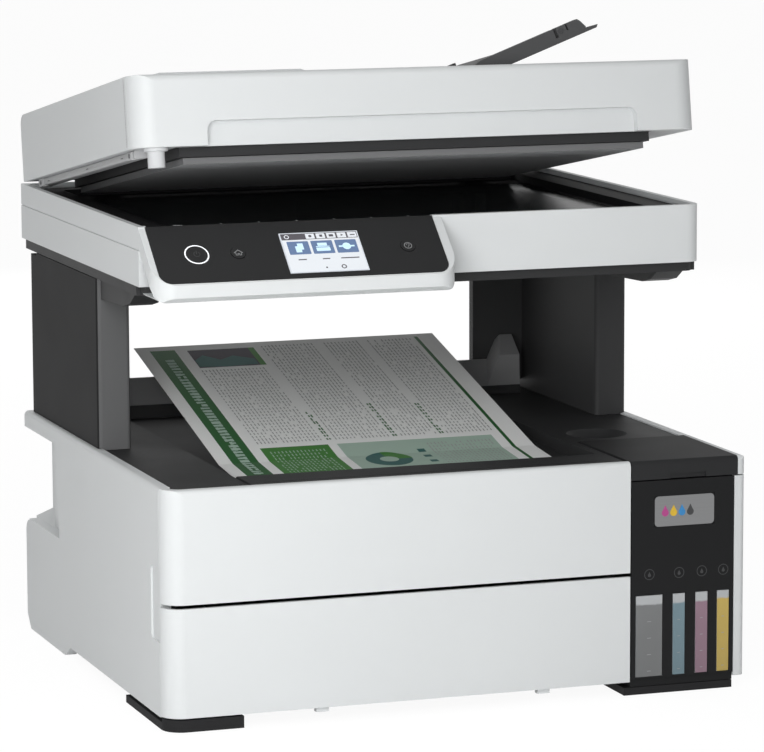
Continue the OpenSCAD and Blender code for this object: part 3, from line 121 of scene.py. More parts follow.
FLOOR_HALF = 9.0
FLOOR_BEND = (4.2, 1.6)
BACKDROP_TOP = 7.0
AIR_LIGHT, AIR_SHOWN = 0.385, 0.605
LAMP_AIM = (0, 0, 0.2)
# Soft lamps: name, place, width and power
LAMPS = (
    ("key softbox", (-0.5, -0.9, 0.45), 0.7, 6.7),
    ("fill softbox", (1.6, -1.6, 1.2), 1.2, 1.0),
    ("top softbox", (0.0, 0.2, 2.4), 1.6, 4.0),
    ("back softbox", (0.5, 1.9, 0.7), 1.2, 7.0),
)
CAMERA_AT = (-0.8397, -2.4358, 0.5623)
CAMERA_FORWARD = (0.32564, 0.93413, -0.14613)
CAMERA_ROLL = -0.225
CAMERA_LENS = 190.8


def facing_front(y=FRONT_Y):
    """Local X to the right, Y up and Z out of the front."""
    return Matrix(((1, 0, 0, 0), (0, 0, -1, y), (0, 1, 0, 0), (0, 0, 0, 1)))


def facing_back(y):
    """Local X to the right, Y up and Z out of the back: mirrored, so faces turn inwards."""
    return Matrix(((1, 0, 0, 0), (0, 0, 1, y), (0, 1, 0, 0), (0, 0, 0, 1)))


def facing_left(x):
    """Local X to the front, Y up and Z out of the left side."""
    return Matrix(((0, 0, -1, x), (-1, 0, 0, 0), (0, 1, 0, 0), (0, 0, 0, 1)))


def on_tray():
    """Local X out along the raised input tray, Z out of its upper face."""
    return (in_lid() @ Matrix.Translation((TRAY_AXIS[0], 0, TRAY_AXIS[1]))
        @ Matrix.Rotation(math.radians(-TRAY_OPEN), 4, "Y"))


def on_panel():
    """Local X across the control panel, Y up its slope and Z out of it."""
    return (Matrix.Translation((0, *PANEL_AT))
        @ Matrix.Rotation(math.radians(PANEL_TILT), 4, "X"))


def in_lid():
    """Takes a place in the closed lid to where the tipped lid holds it."""
    pivot = Matrix.Translation((0, *LID_AXIS))
    return pivot @ Matrix.Rotation(math.radians(-LID_OPEN), 4, "X") @ pivot.inverted()


def sheet_height(y):
    """Height of the sheet's upper face at a depth."""
    for (y0, z0), (y1, z1) in zip(SHEET_PATH, SHEET_PATH[1:]):
        if y <= y1:
            break
    return z0 + (z1 - z0) * (y - y0) / (y1 - y0)


# ---- outlines and solids, in millimetres ----


def arc(at, radius, start, end, steps):
    """Points on an arc between two angles, in degrees from X towards Y."""
    turns = [math.radians(start + (end - start) * i / steps) for i in range(steps + 1)]
    return [(at[0] + radius * math.cos(turn), at[1] + radius * math.sin(turn)) for turn in turns]


def disc(at, radius, steps=32):
    """Outline of a disc."""
    return arc(at, radius, 0, 360, steps)[:-1]


def oblong(x0, y0, x1, y1):
    """Outline of a rectangle."""
    return [(x0, y0), (x1, y0), (x1, y1), (x0, y1)]


def rounded(x0, y0, x1, y1, radius, steps=5):
    """Outline of a rectangle with round corners."""
    corners = oblong(x1 - radius, y1 - radius, x0 + radius, y0 + radius)
    return [point for corner, start in zip(corners, (0, 90, 180, 270))
        for point in arc(corner, radius, start, start + 90, steps)]


def drop_outline(at, size):
    """Outline of an ink drop, point upwards."""
    return arc(at, size * 0.5, -225, 45, 24) + [(at[0], at[1] + size * 1.05)]


def bridge(work, low, high):
    """Joins two rings of corners with faces."""
    for i in range(len(low)):
        j = (i + 1) % len(low)
        work.faces.new((low[i], low[j], high[j], high[i]))


def prism(work, outline, z0, z1):
    """Adds an upright solid over an outline; z1 may be a slope, as a function of x."""
    top = z1 if callable(z1) else lambda x: z1
    low = [work.verts.new((x, y, z0)) for x, y in outline]
    high = [work.verts.new((x, y, top(x))) for x, y in outline]
    work.faces.new(high)
    work.faces.new(low[::-1])
    bridge(work, low, high)


def ring(work, at, outer, inner, z0, z1, steps=40):
    """Adds a flat ring round a centre."""
    rows = [[work.verts.new((x, y, z)) for x, y in disc(at, radius, steps)]
        for radius, z in ((outer, z0), (outer, z1), (inner, z1), (inner, z0))]
    for low, high in zip(rows, rows[1:] + rows[:1]):
        bridge(work, low, high)


def stroke(work, points, width, z0, z1):
    """Adds a line of even width along (x, y) points."""
    for (x0, y0), (x1, y1) in zip(points, points[1:]):
        length = math.hypot(x1 - x0, y1 - y0)
        ux, uy = (x1 - x0) / length * width / 2, (y1 - y0) / length * width / 2
        prism(work, [(x0 - ux + uy, y0 - uy - ux), (x1 + ux + uy, y1 + uy - ux),
            (x1 + ux - uy, y1 + uy + ux), (x0 - ux - uy, y0 - uy + ux)], z0, z1)


# ---- pieces ----


def new_object(name, data):
    """Links a new object to the scene."""
    made = bpy.data.objects.new(name, data)
    bpy.context.scene.collection.objects.link(made)
    return made


def merged_copy(mesh):
    """A copy of a CAD node's mesh, whose loose triangles are joined."""
    work = bmesh.new()
    work.from_mesh(mesh)
    bmesh.ops.remove_doubles(work, verts=work.verts, dist=MERGE)
    copy = mesh.copy()
    work.to_mesh(copy)
    work.free()
    return copy


def final_mesh(holder):
    """The mesh that an object's modifiers make; the object goes."""
    graph = bpy.context.evaluated_depsgraph_get()
    graph.update()
    mesh = bpy.data.meshes.new_from_object(holder.evaluated_get(graph))
    holder.modifiers.clear()
    bpy.data.objects.remove(holder)
    return mesh


def add_piece(name, mesh, finish, body):
    """Links a finished mesh as a piece that rides on a body."""
    piece = new_object(name, mesh)
    if not mesh.materials:
        mesh.materials.append(FINISH[finish])
    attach(piece, body)
    return piece


def to_mesh(name, work):
    """Turns millimetre work into a mesh, in metres."""
    bmesh.ops.scale(work, vec=(MM, MM, MM), verts=work.verts)
    mesh = bpy.data.meshes.new(name)
    work.to_mesh(mesh)
    work.free()
    return mesh


def solids(name, place, *parts):
    """A mesh of solids in its place; a part is prism, ring or stroke, and what it takes."""
    work = bmesh.new()
    for build, *values in parts:
        build(work, *values)
    bmesh.ops.transform(work, matrix=place, verts=work.verts)
    bmesh.ops.recalc_face_normals(work, faces=work.faces)
    return to_mesh(name, work)


def add_solids(name, place, finish, body, slot, *parts):
    """Adds solids as a piece in its place."""
    add_piece(name, solids(name, place, *parts), finish, body)


def place_mesh(mesh, place, shape=None):
    """Moves a baked mesh to its place, in metres; shape maps each point first."""
    for vertex in mesh.vertices:
        point = Vector(shape(vertex.co)) if shape else vertex.co
        vertex.co = (place @ point) * MM
    mesh.update()
    return mesh


def print_mesh(name, outlines, lift):
    """Flat printed shapes, across from the sheet's left edge, cut where the sheet bends."""
    work = bmesh.new()
    for outline in outlines:
        work.faces.new([work.verts.new((SHEET_LEFT + x, y, 0)) for x, y in outline])
    for y, _ in SHEET_PATH[1:-1]:
        bmesh.ops.bisect_plane(work, geom=work.verts[:] + work.edges[:] + work.faces[:],
            plane_co=(0, y, 0), plane_no=(0, 1, 0))
    for vertex in work.verts:
        vertex.co.z = sheet_height(vertex.co.y) + lift
    for face in work.faces:
        face.normal_update()
        if face.normal.z < 0:
            face.normal_flip()
    return to_mesh(name, work)


# ---- node trees ----


class Maker:
    """Builds a node tree in code."""

    def __init__(self, tree):
        self.tree = tree

    def feed(self, node, **values):
        """Feeds sockets, called by name or in0, in1 ...: a value, a socket or a node's first."""
        for key, value in values.items():
            if isinstance(value, Node):
                value = value.outputs[0]
            if key[:2] == "in" and key[2:].isdigit():
                socket = node.inputs[int(key[2:])]
            else:
                socket = next(one for one in node.inputs
                    if one.enabled and one.name.replace(" ", "_") == key)
            if isinstance(value, NodeSocket):
                self.tree.links.new(value, socket)
            else:
                socket.default_value = value
        return node

    def node(self, kind, **values):
        """Adds a node; values named set_ are its settings, and the rest feed its sockets."""
        made = self.tree.nodes.new(kind)
        for key in [key for key in values if key.startswith("set_")]:
            setattr(made, key[4:], values.pop(key))
        return self.feed(made, **values)

    def math(self, operation, a, b, clamp=False):
        """A Math node."""
        return self.node("ShaderNodeMath", set_operation=operation, set_use_clamp=clamp,
            in0=a, in1=b)


def new_socket(tree, label, kind, in_out="INPUT"):
    """Adds a named socket to a group."""
    return tree.interface.new_socket(label, in_out=in_out, socket_type="NodeSocket" + kind)


class Repeat(Maker):
    """Builds a geometry node tree with named inputs, and bakes it to plain meshes."""

    def __init__(self, name, **inputs):
        super().__init__(bpy.data.node_groups.new(name, "GeometryNodeTree"))
        new_socket(self.tree, "Geometry", "Geometry")
        self.identifiers = {label: new_socket(self.tree, label, kind).identifier
            for label, kind in inputs.items()}
        new_socket(self.tree, "Geometry", "Geometry", "OUTPUT")
        source = self.node("NodeGroupInput")
        self.given = {socket.name: socket for socket in source.outputs}

    def close(self, geometry):
        """Ends the tree in Realize Instances and Set Material."""
        real = self.node("GeometryNodeRealizeInstances", Geometry=geometry)
        paint = self.node("GeometryNodeSetMaterial", Geometry=real,
            Material=self.given["Material"])
        self.node("NodeGroupOutput", in0=paint)
        return self

    def bake(self, name, mesh=None, **values):
        """The tree's result for these input values, as a plain mesh in millimetres."""
        holder = new_object(name, mesh or bpy.data.meshes.new(name))
        modifier = holder.modifiers.new(name, "NODES")
        modifier.node_group = self.tree
        for label, value in values.items():
            modifier[self.identifiers[label]] = value
        result = final_mesh(holder)
        if not result.polygons:
            raise RuntimeError(f"{name} came out empty")
        return result


@cache
def bar_tree():
    """A row of equal bars."""
    tree = Repeat("row of bars", Count="Int", Spacing="Float", Width="Float", Length="Float",
        Height="Float", Material="Material")
    given = tree.given
    step = tree.node("ShaderNodeCombineXYZ", X=given["Spacing"])
    line = tree.node("GeometryNodeMeshLine", Count=given["Count"], Offset=step)
    size = tree.node("ShaderNodeCombineXYZ", X=given["Width"], Y=given["Length"],
        Z=given["Height"])
    bar = tree.node("GeometryNodeMeshCube", Size=size)
    row = tree.node("GeometryNodeInstanceOnPoints", Points=line, Instance=bar)
    return tree.close(row)


def word_tree():
    """Rows of short dashes, like lines of print seen from far off."""
    tree = Repeat("print rows", Width="Float", Length="Float", Rows="Int", Words="Int",
        Weight="Float", Seed="Int", Material="Material")
    given = tree.given
    grid = tree.node("GeometryNodeMeshGrid", Size_X=given["Width"], Size_Y=given["Length"],
        Vertices_X=given["Rows"], Vertices_Y=given["Words"])
    part = tree.node("FunctionNodeRandomValue", Min=0.45, Max=0.95, Seed=given["Seed"])
    pitch = tree.math("DIVIDE", given["Length"], given["Words"])
    scale = tree.node("ShaderNodeCombineXYZ", X=given["Weight"],
        Y=tree.math("MULTIPLY", pitch, part.outputs[1]), Z=1.0)
    kept = tree.node("FunctionNodeRandomValue", set_data_type="BOOLEAN", Probability=0.93,
        Seed=given["Seed"])
    dash = tree.node("GeometryNodeMeshGrid", Size_X=1.0, Size_Y=1.0, Vertices_X=2, Vertices_Y=2)
    rows = tree.node("GeometryNodeInstanceOnPoints", Points=grid, Instance=dash, Scale=scale,
        Selection=kept.outputs[3])
    return tree.close(rows)


def screw_tree():
    """Pan-head screws on the points that it is given."""
    tree = Repeat("screw heads", Diameter="Float", Height="Float", Material="Material")
    given = tree.given
    head = tree.node("GeometryNodeMeshCone", Vertices=20,
        Radius_Top=tree.math("MULTIPLY", given["Diameter"], 0.34),
        Radius_Bottom=tree.math("MULTIPLY", given["Diameter"], 0.5), Depth=given["Height"])
    slot = tree.node("GeometryNodeMeshCube", Size=(0.9, 3.4, 1.2))
    turned = tree.node("GeometryNodeTransform", Geometry=slot, Rotation=(0, 0, math.pi / 2))
    cross = tree.node("GeometryNodeJoinGeometry", in0=slot)
    tree.feed(cross, in0=turned)
    lift = tree.node("ShaderNodeCombineXYZ", Z=given["Height"])
    raised = tree.node("GeometryNodeTransform", Geometry=cross, Translation=lift)
    cut = tree.node("GeometryNodeMeshBoolean", set_operation="DIFFERENCE", in0=head, in1=raised)
    spread = tree.node("GeometryNodeInstanceOnPoints", Points=given["Geometry"], Instance=cut)
    return tree.close(spread)


def add_bars(name, place, finish, body, slot, *sizes):
    """Adds a row of bars as a piece; sizes are count, spacing, width, length and height."""
    labels = ("Count", "Spacing", "Width", "Length", "Height")
    mesh = bar_tree().bake(name, Material=FINISH[finish], **dict(zip(labels, sizes)))
    add_piece(name, place_mesh(mesh, place), finish, body)


# ---- shader node groups ----


class Shading(Maker):
    """Builds a shader tree, with its patterns in Object coordinates."""

    def place(self):
        """Object coordinates."""
        return self.node("ShaderNodeTexCoord").outputs["Object"]

    def noise(self, place, scale, detail, distortion=0.0):
        """A noise pattern, from 0 to 1."""
        return self.node("ShaderNodeTexNoise", Vector=place, Scale=scale, Detail=detail,
            Distortion=distortion)

    def swing(self, pattern, amount):
        """A pattern's distance from its middle, times an amount."""
        return self.math("MULTIPLY", self.math("SUBTRACT", pattern, 0.5), amount)

    def tint(self, value, colour):
        """A colour made lighter or darker."""
        return self.node("ShaderNodeHueSaturation", Value=value, Color=colour)

    def relief(self, height, strength, distance=0.0002):
        """A normal from a height."""
        return self.node("ShaderNodeBump", Height=height, Strength=strength, Distance=distance)

    def mapped(self, value, start, end, low=0.0, high=1.0):
        """A value from low at the start to high at the end."""
        return self.node("ShaderNodeMapRange", Value=value, From_Min=start, From_Max=end,
            To_Min=low, To_Max=high)

    def mixed(self, part, first, second):
        """The first colour, or the second where part is 1."""
        return self.node("ShaderNodeMix", set_data_type="RGBA", in0=part, in6=first,
            in7=second).outputs[2]

    def grouped(self, tree, **values):
        """The outputs of a shared group with its own values."""
        return self.node("ShaderNodeGroup", set_node_tree=tree, **values).outputs


def new_group(name, outputs, **inputs):
    """A shader group's maker and its inputs: a colour, and numbers with their defaults."""
    tree = bpy.data.node_groups.new(name, "ShaderNodeTree")
    new_socket(tree, "Colour", "Color").default_value = (0.5, 0.5, 0.5, 1)
    for label, default in inputs.items():
        new_socket(tree, label, "Float").default_value = default
    new_socket(tree, "Colour", "Color", "OUTPUT")
    for label in outputs:
        new_socket(tree, label, "Float", "OUTPUT")
    make = Shading(tree)
    return make, make.node("NodeGroupInput").outputs


@cache
def moulding_group():
    """Spark-eroded plastic: fine grain in height, faint cloudiness in tone, smudges in gloss."""
    make, given = new_group("moulded plastic", ("Roughness", "Height"), Grain=2400.0,
        Cloud=0.03, Roughness=0.5, Smudge=0.05)
    place = make.place()
    fine = make.noise(place, given["Grain"], 2.0)
    pits = make.node("ShaderNodeTexVoronoi", Vector=place, Scale=given["Grain"])
    tone = make.swing(make.noise(place, 9.0, 3.0), given["Cloud"])
    speck = make.swing(fine, given["Cloud"])
    value = make.math("ADD", 1.0, make.math("ADD", make.math("MULTIPLY", tone, 2.0), speck))
    smear = make.swing(make.noise(place, 24.0, 4.0, 0.6), given["Smudge"])
    make.node("NodeGroupOutput", Colour=make.tint(value, given["Colour"]),
        Roughness=make.math("ADD", given["Roughness"], smear, True),
        Height=make.math("ADD", fine, pits))
    return make.tree


@cache
def metal_group():
    """Drawn or brushed metal: streaks along X in tone, gloss and height."""
    make, given = new_group("brushed metal", ("Roughness", "Height"), Roughness=0.35,
        Streak=0.2)
    drawn = make.node("ShaderNodeMapping", Vector=make.place(), Scale=(18.0, 2600.0, 2600.0))
    lines = make.noise(drawn, 1.0, 3.0)
    streak = make.swing(lines, given["Streak"])
    make.node("NodeGroupOutput", Height=lines,
        Colour=make.tint(make.math("ADD", 1.0, streak), given["Colour"]),
        Roughness=make.math("ADD", given["Roughness"], streak, True))
    return make.tree


@cache
def fibre_group():
    """Paper: a felted surface of short fibres."""
    make, given = new_group("felted fibre", ("Height",), Grain=900.0, Cloud=0.05)
    felt = make.noise(make.place(), given["Grain"], 5.0, 1.4)
    shade = make.math("ADD", 1.0, make.swing(felt, given["Cloud"]))
    make.node("NodeGroupOutput", Colour=make.tint(shade, given["Colour"]), Height=felt)
    return make.tree


# ---- finishes ----


def new_finish(name):
    """A new material, kept as a finish: its maker and its Principled BSDF."""
    material = bpy.data.materials.new(name)
    material.use_nodes = True
    FINISH[name] = material
    return Shading(material.node_tree), material.node_tree.nodes["Principled BSDF"]


def moulded(name, colour, roughness, grain=2400.0, relief=0.12, cloud=0.03, specular=0.5,
        smudge=0.06):
    """A moulded plastic finish."""
    make, surface = new_finish(name)
    made = make.grouped(moulding_group(), Colour=(*colour, 1), Grain=grain, Cloud=cloud,
        Roughness=roughness, Smudge=smudge)
    make.feed(surface, Base_Color=made["Colour"], Roughness=made["Roughness"],
        Normal=make.relief(made["Height"], relief), Specular_IOR_Level=specular)
    return make, made["Colour"].node


def metal(name, colour, roughness, streak=0.2):
    """A brushed metal finish."""
    make, surface = new_finish(name)
    made = make.grouped(metal_group(), Colour=(*colour, 1), Roughness=roughness, Streak=streak)
    make.feed(surface, Base_Color=made["Colour"], Roughness=made["Roughness"], Metallic=1.0,
        Normal=make.relief(made["Height"], 0.08, 0.0001))


def felted(name, colour, roughness, cloud, grain=900.0):
    """A paper or print finish."""
    make, surface = new_finish(name)
    made = make.grouped(fibre_group(), Colour=(*colour, 1), Grain=grain, Cloud=cloud)
    make.feed(surface, Base_Color=made["Colour"], Roughness=roughness,
        Normal=make.relief(made["Height"], 0.1))


def lit(name, colour, glow, strength):
    """A lit screen or lamp finish, with the fine dots of its display."""
    make, surface = new_finish(name)
    dots = make.node("ShaderNodeTexVoronoi", Vector=make.place(), Scale=3200.0)
    shade = make.math("SUBTRACT", 1.0, make.math("MULTIPLY", dots, 0.06))
    make.feed(surface, Base_Color=make.tint(shade, (*colour, 1)), Roughness=0.15,
        Emission_Color=make.tint(shade, (*glow, 1)), Emission_Strength=strength)


def clear_finish(name, colour, alpha, roughness):
    """A clear pane."""
    make, surface = new_finish(name)
    haze = make.math("MULTIPLY", make.noise(make.place(), 60.0, 3.0), 0.05)
    make.feed(surface, Base_Color=(*colour, 1), Roughness=make.math("ADD", roughness, haze),
        Specular_IOR_Level=0.06, Alpha=alpha)


def level_finish(name, ink, head, level):
    """A tank window: ink up to a level, misted plastic above it."""
    make, surface = new_finish(name)
    place = make.place()
    height = make.node("ShaderNodeSeparateXYZ", Vector=place).outputs[2]
    line = make.math("ADD", height, make.swing(make.noise(place, 220.0, 2.0), 0.0016))
    above = make.mapped(line, level - 0.0006, level + 0.0006)
    # The ink is drawn darker towards the tank's floor and lighter towards its level.
    height_ramp = make.mapped(height, INK_FLOOR, level, 0.92, 1.08)
    cloud = make.noise(place, 90.0, 4.0)
    wash = make.math("MULTIPLY", height_ramp, make.math("ADD", 0.94, make.math("MULTIPLY", cloud, 0.12)))
    make.feed(surface, Base_Color=make.mixed(above, make.tint(wash, (*ink, 1)), (*head, 1)),
        Roughness=0.28, Coat_Weight=0.3, Normal=make.relief(cloud, 0.05))


def two_tone(name, inner, outer, half=9.0, front=-9.0, roughness=0.6, specular=0.12):
    """Moulded plastic with another colour further from the middle than half, or before front."""
    make, plastic = moulded(name, inner, roughness, 1900.0, 0.2, 0.04, specular)
    split = make.node("ShaderNodeSeparateXYZ", Vector=make.place())
    across = make.math("ABSOLUTE", split, 0.0)
    side = make.mapped(across, half - EDGE, half + EDGE)
    before = make.mapped(split.outputs[1], front - EDGE, front + EDGE, 1.0, 0.0)
    make.feed(plastic, Colour=make.mixed(make.math("MAXIMUM", side, before), (*inner, 1),
        (*outer, 1)))


# Finishes by their maker: name, colour (or the property that holds it) and the maker's own
# values, which stand after each maker
FINISHES = {
    moulded: (  # roughness, grain, relief, cloud, specular, smudge
        ("cover white", "white", 0.50, 2600.0, 0.10, 0.02),
        ("deck charcoal", "charcoal", 0.58, 1700.0, 0.30, 0.12, 0.3, 0.1),
        ("column charcoal", (0.042, 0.0425, 0.0435), 0.55, 1900.0, 0.25, 0.10, 0.2),
        ("tank charcoal", "tank", 0.50, 2400.0, 0.12, 0.08, 0.15),
        ("tray grey", (0.078, 0.079, 0.081), 0.55, 1900.0, 0.20, 0.08, 0.25),
        ("ledge grey", (0.22, 0.222, 0.225), 0.55, 1900.0, 0.20, 0.08, 0.3),
        ("support grey", "grey", 0.50, 1900.0, 0.20, 0.08, 0.35),
        ("panel black", (0.0180, 0.0183, 0.0190), 0.36, 3000.0, 0.06, 0.05, 0.2),
        ("inner black", (0.012, 0.012, 0.0128), 0.58, 2400.0, 0.15, 0.1, 0.1),
        ("soft rubber", (0.014, 0.014, 0.015), 0.80, 1500.0, 0.3, 0.2, 0.3),
        ("misted tank", (0.36, 0.38, 0.39), 0.35, 1200.0, 0.1, 0.1),
        ("board green", (0.012, 0.085, 0.030), 0.38, 900.0, 0.15, 0.25),
        ("cap cyan", (0.03, 0.22, 0.50), 0.35),
        ("cap magenta", (0.40, 0.05, 0.22), 0.35),
        ("cap yellow", (0.65, 0.42, 0.03), 0.35),
        ("channel grey", (0.42, 0.425, 0.43), 0.5, 2400.0, 0.12, 0.04),
        ("mark grey", (0.30, 0.305, 0.31), 0.5),
        ("mark white", (0.62, 0.63, 0.64), 0.5),
        ("mark dark", (0.040, 0.041, 0.043), 0.4),
    ),
    metal: (  # roughness, streak
        ("drawn steel", (0.56, 0.57, 0.58), 0.32),
        ("brushed plate", (0.27, 0.273, 0.277), 0.36, 0.35),
    ),
    felted: (  # roughness, cloud, grain
        ("print paper", "paper", 0.75, 0.03),
        ("print green", "green", 0.62, 0.10),
        ("print leaf", "leaf", 0.62, 0.10),
        ("print pale", "pale", 0.70, 0.06),
        ("print ink", (0.36, 0.365, 0.365), 0.70, 0.2),
        ("print teal", (0.035, 0.13, 0.12), 0.62, 0.1),
        ("print dusk", (0.045, 0.040, 0.055), 0.62, 0.4, 300.0),
    ),
    lit: (  # glow's colour and strength
        ("screen glass", (0.55, 0.58, 0.62), (0.60, 0.64, 0.70), 0.35),
        ("screen pale", (0.42, 0.44, 0.47), (0.80, 0.83, 0.86), 0.56),
        ("screen bar", (0.06, 0.055, 0.065), (0.10, 0.09, 0.11), 0.3),
        ("screen tile", (0.07, 0.12, 0.23), (0.13, 0.20, 0.36), 0.45),
        ("screen sign", (0.45, 0.62, 0.72), (0.55, 0.74, 0.84), 0.6),
        ("button light", (0.75, 0.77, 0.80), (0.9, 0.92, 0.95), 0.65),
    ),
    clear_finish: (  # alpha, roughness
        # The pane is near black and 62 per cent opaque: painted shade for the dark inside of the
        # scanner under the lid, seen through the glass.
        ("float glass", (0.012, 0.014, 0.014), 0.62, 0.10),
    ),
}
MIST = (0.41, 0.425, 0.435)

NODE_FINISH = {
    "cover white": "left_side_cover right_side_cover front_cover cassette_front scanner_shell "
        "panel_bezel lid_shell adf_cover",
    "deck charcoal": "bottom_chassis output_deck exit_guide cassette_tray scanner_base "
        "print_carriage pickup_arm",
    "column charcoal": "right_column",
    "left column": "left_column",
    "tray grey": "adf_tray adf_front_guide adf_rear_guide",
    "ledge grey": "paper_support",
    "tank charcoal": "tank_housing",
    "support grey": "rear_cover power_supply maintenance_box left_edge_guide right_edge_guide "
        "guide_pinion",
    "panel black": "control_panel power_button home_button help_button",
    "inner black": "power_inlet platen platen_frame scan_carriage drive_motors black_cap",
    "soft rubber": "feet timing_belt pickup_roller feed_roller exit_roller adf_roller",
    "drawn steel": "mechanism_frame print_head lid_hinges",
    "brushed plate": "badge_plate",
    "misted tank": "ink_tanks",
    "board green": "main_board",
    "print paper": "printed_sheet",
    "float glass": "platen_glass",
    "screen glass": "touch_screen",
    "cap cyan": "cyan_cap",
    "cap magenta": "magenta_cap",
    "cap yellow": "yellow_cap",
    "lid underside": "lid_base",
    "tank lid": "tank_lid",
    "document mat": "lid_mat",
}


# ---- sizes and colours ----


def colour_property(name, description, default):
    """A colour that a user may change."""
    return FloatVectorProperty(name=name, description=description, default=default, size=3,
        subtype="COLOR", min=0.0, max=1.0)


class PrinterColours(PropertyGroup):
    """Colours of the mouldings, inks and prints."""

    white: colour_property("Covers", "Pale cool moulding of the covers", (0.665, 0.685, 0.69))
    charcoal: colour_property("Deck", "Charcoal moulding of the deck", (0.025, 0.0255, 0.0265))
    tank: colour_property("Tank unit", "Smooth moulding round the tanks",
        (0.0110, 0.0113, 0.0119))
    grey: colour_property("Supports", "Dark grey moulding", (0.095, 0.097, 0.10))
    paper: colour_property("Paper", "Plain printing paper", (0.87, 0.88, 0.87))
    green: colour_property("Green print", "Deep green of the printed page",
        (0.022, 0.12, 0.030))
    leaf: colour_property("Leaf print", "Fresh green of the printed page",
        (0.055, 0.22, 0.038))
    pale: colour_property("Pale print", "Pale green of the printed page", (0.40, 0.53, 0.45))


class PrinterSizes(PropertyGroup):
    """Sizes of what the finishes add."""

    ink_level: FloatProperty(name="Ink level", description="Height of the ink over the table",
        default=0.0565, min=0.015, max=0.0615, unit="LENGTH")
    print_pitch: FloatProperty(name="Print pitch", description="Distance between printed rows",
        default=0.0025, min=0.002, max=0.006, unit="LENGTH")
    screw_size: FloatProperty(name="Screw heads", description="Diameter of the screw heads",
        default=0.006, min=0.004, max=0.008, unit="LENGTH")
    seed: IntProperty(name="Print seed", description="Pattern of the printed rows", default=4)


# ---- operators ----


class PRINTER_OT_finishes(Operator):
    """Makes every finish and gives each CAD node its own"""

    bl_idname = "printer.finishes"
    bl_label = "Finishes"

    def execute(self, context):
        colours = context.scene.printer_colours
        for maker, rows in FINISHES.items():
            for name, colour, *values in rows:
                if isinstance(colour, str):
                    colour = getattr(colours, colour)
                maker(name, colour, *values)
        # The left column's front is a lighter grey than the right column's charcoal front. This is
        # partly a lighter front insert and partly painted light on the lit left front.
        two_tone("left column", (0.014, 0.0142, 0.0147), (0.115, 0.116, 0.118), front=-0.0115,
            specular=0.1)
        two_tone("lid underside", (0.024, 0.0245, 0.0255), (0.60, 0.61, 0.62), half=0.1555,
            specular=0.3)
        two_tone("tank lid", colours.charcoal, colours.white, half=0.1822)
        # The mat's face is grey and its front edge and sides are darker. This is partly the pad's
        # grey foam edge and partly painted shade under the lid's edge.
        two_tone("document mat", (0.50, 0.51, 0.52), (0.17, 0.172, 0.175), half=0.15035,
            front=-0.0945, roughness=0.8)
        for name, _, _, ink, more in WINDOWS:
            level_finish(name, ink, MIST, context.scene.printer_sizes.ink_level + more)
        for finish, nodes in NODE_FINISH.items():
            for node in nodes.split():
                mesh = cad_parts[node].data
                mesh.materials.clear()
                mesh.materials.append(FINISH[finish])
        return {"FINISHED"}


class PRINTER_OT_page(Operator):
    """Prints a generic page on the sheet in the output bay"""

    bl_idname = "printer.page"
    bl_label = "Printed page"

    def execute(self, context):
        pie = (108, -78)
        hills = [(34.5, 88), (50, 86.5), (75, 88), (75, 97), (62, 104), (52, 98), (42, 107),
            (34.5, 99)]
        for name, finish, lift, *outlines in (
                ("band", "green", 0.06, oblong(9, -150, 26, 118)),
                ("rule", "green", 0.06, oblong(195, -150, 197.5, 120)),
                ("chart", "pale", 0.06, oblong(84, -150, 188, -46)),
                ("block", "leaf", 0.06, oblong(33, -150, 78, -46)),
                ("picture", "dusk", 0.06, oblong(34, 86, 76, 116)),
                ("hills", "teal", 0.10, hills),
                ("leaf", "leaf", 0.06, oblong(76, 86, 80, 116)),
                ("pie", "teal", 0.10, disc(pie, 15)),
                ("slice", "leaf", 0.14, [pie] + arc(pie, 15.3, 0, math.degrees(15 / 9), 15)),
                ("core", "pale", 0.18, disc(pie, 6)),
                ("keys", "teal", 0.10, *(oblong(132, y, 137, y + 5) for y in (-66, -78, -90)))):
            name = "page_" + name
            add_piece(name, print_mesh(name, outlines, lift), "print " + finish, "base")
        sizes = context.scene.printer_sizes
        pitch = sizes.print_pitch / MM
        word, ink_lift = 4.6, 0.16
        rows = word_tree()
        for index, (name, x0, x1, y0, y1, finish, weight) in enumerate((
                ("text_a", 34, 76, -38, 80, "ink", 0.75),
                ("text_b", 86, 121, -38, 116, "ink", 0.75),
                ("text_c", 130, 153, -38, 116, "ink", 0.75),
                ("text_d", 161, 191, -38, 116, "ink", 0.75),
                ("head_a", 80.4, 82.2, -38, 4, "green", 1.1),
                ("head_b", 124.6, 126.4, -38, 12, "green", 1.1),
                ("head_c", 156.2, 158, -38, 8, "green", 1.1),
                ("band_marks", 15.6, 19.6, -92, 100, "pale", 2.0),
                ("block_marks", 38, 73, -112, -54, "pale", 0.8),
                ("chart_marks", 142, 184, -112, -54, "ink", 0.7))):
            name, finish = "page_" + name, "print " + finish
            mesh = rows.bake(name, Width=float(x1 - x0), Length=float(y1 - y0), Weight=weight,
                Rows=max(2, round((x1 - x0) / pitch) + 1), Words=max(3, round((y1 - y0) / word)),
                Seed=sizes.seed + index, Material=FINISH[finish])
            x, y = SHEET_LEFT + (x0 + x1) / 2, (y0 + y1) / 2
            place_mesh(mesh, Matrix(),
                lambda p: (p.x + x, p.y + y, sheet_height(p.y + y) + ink_lift))
            add_piece(name, mesh, finish, "base")
        return {"FINISHED"}


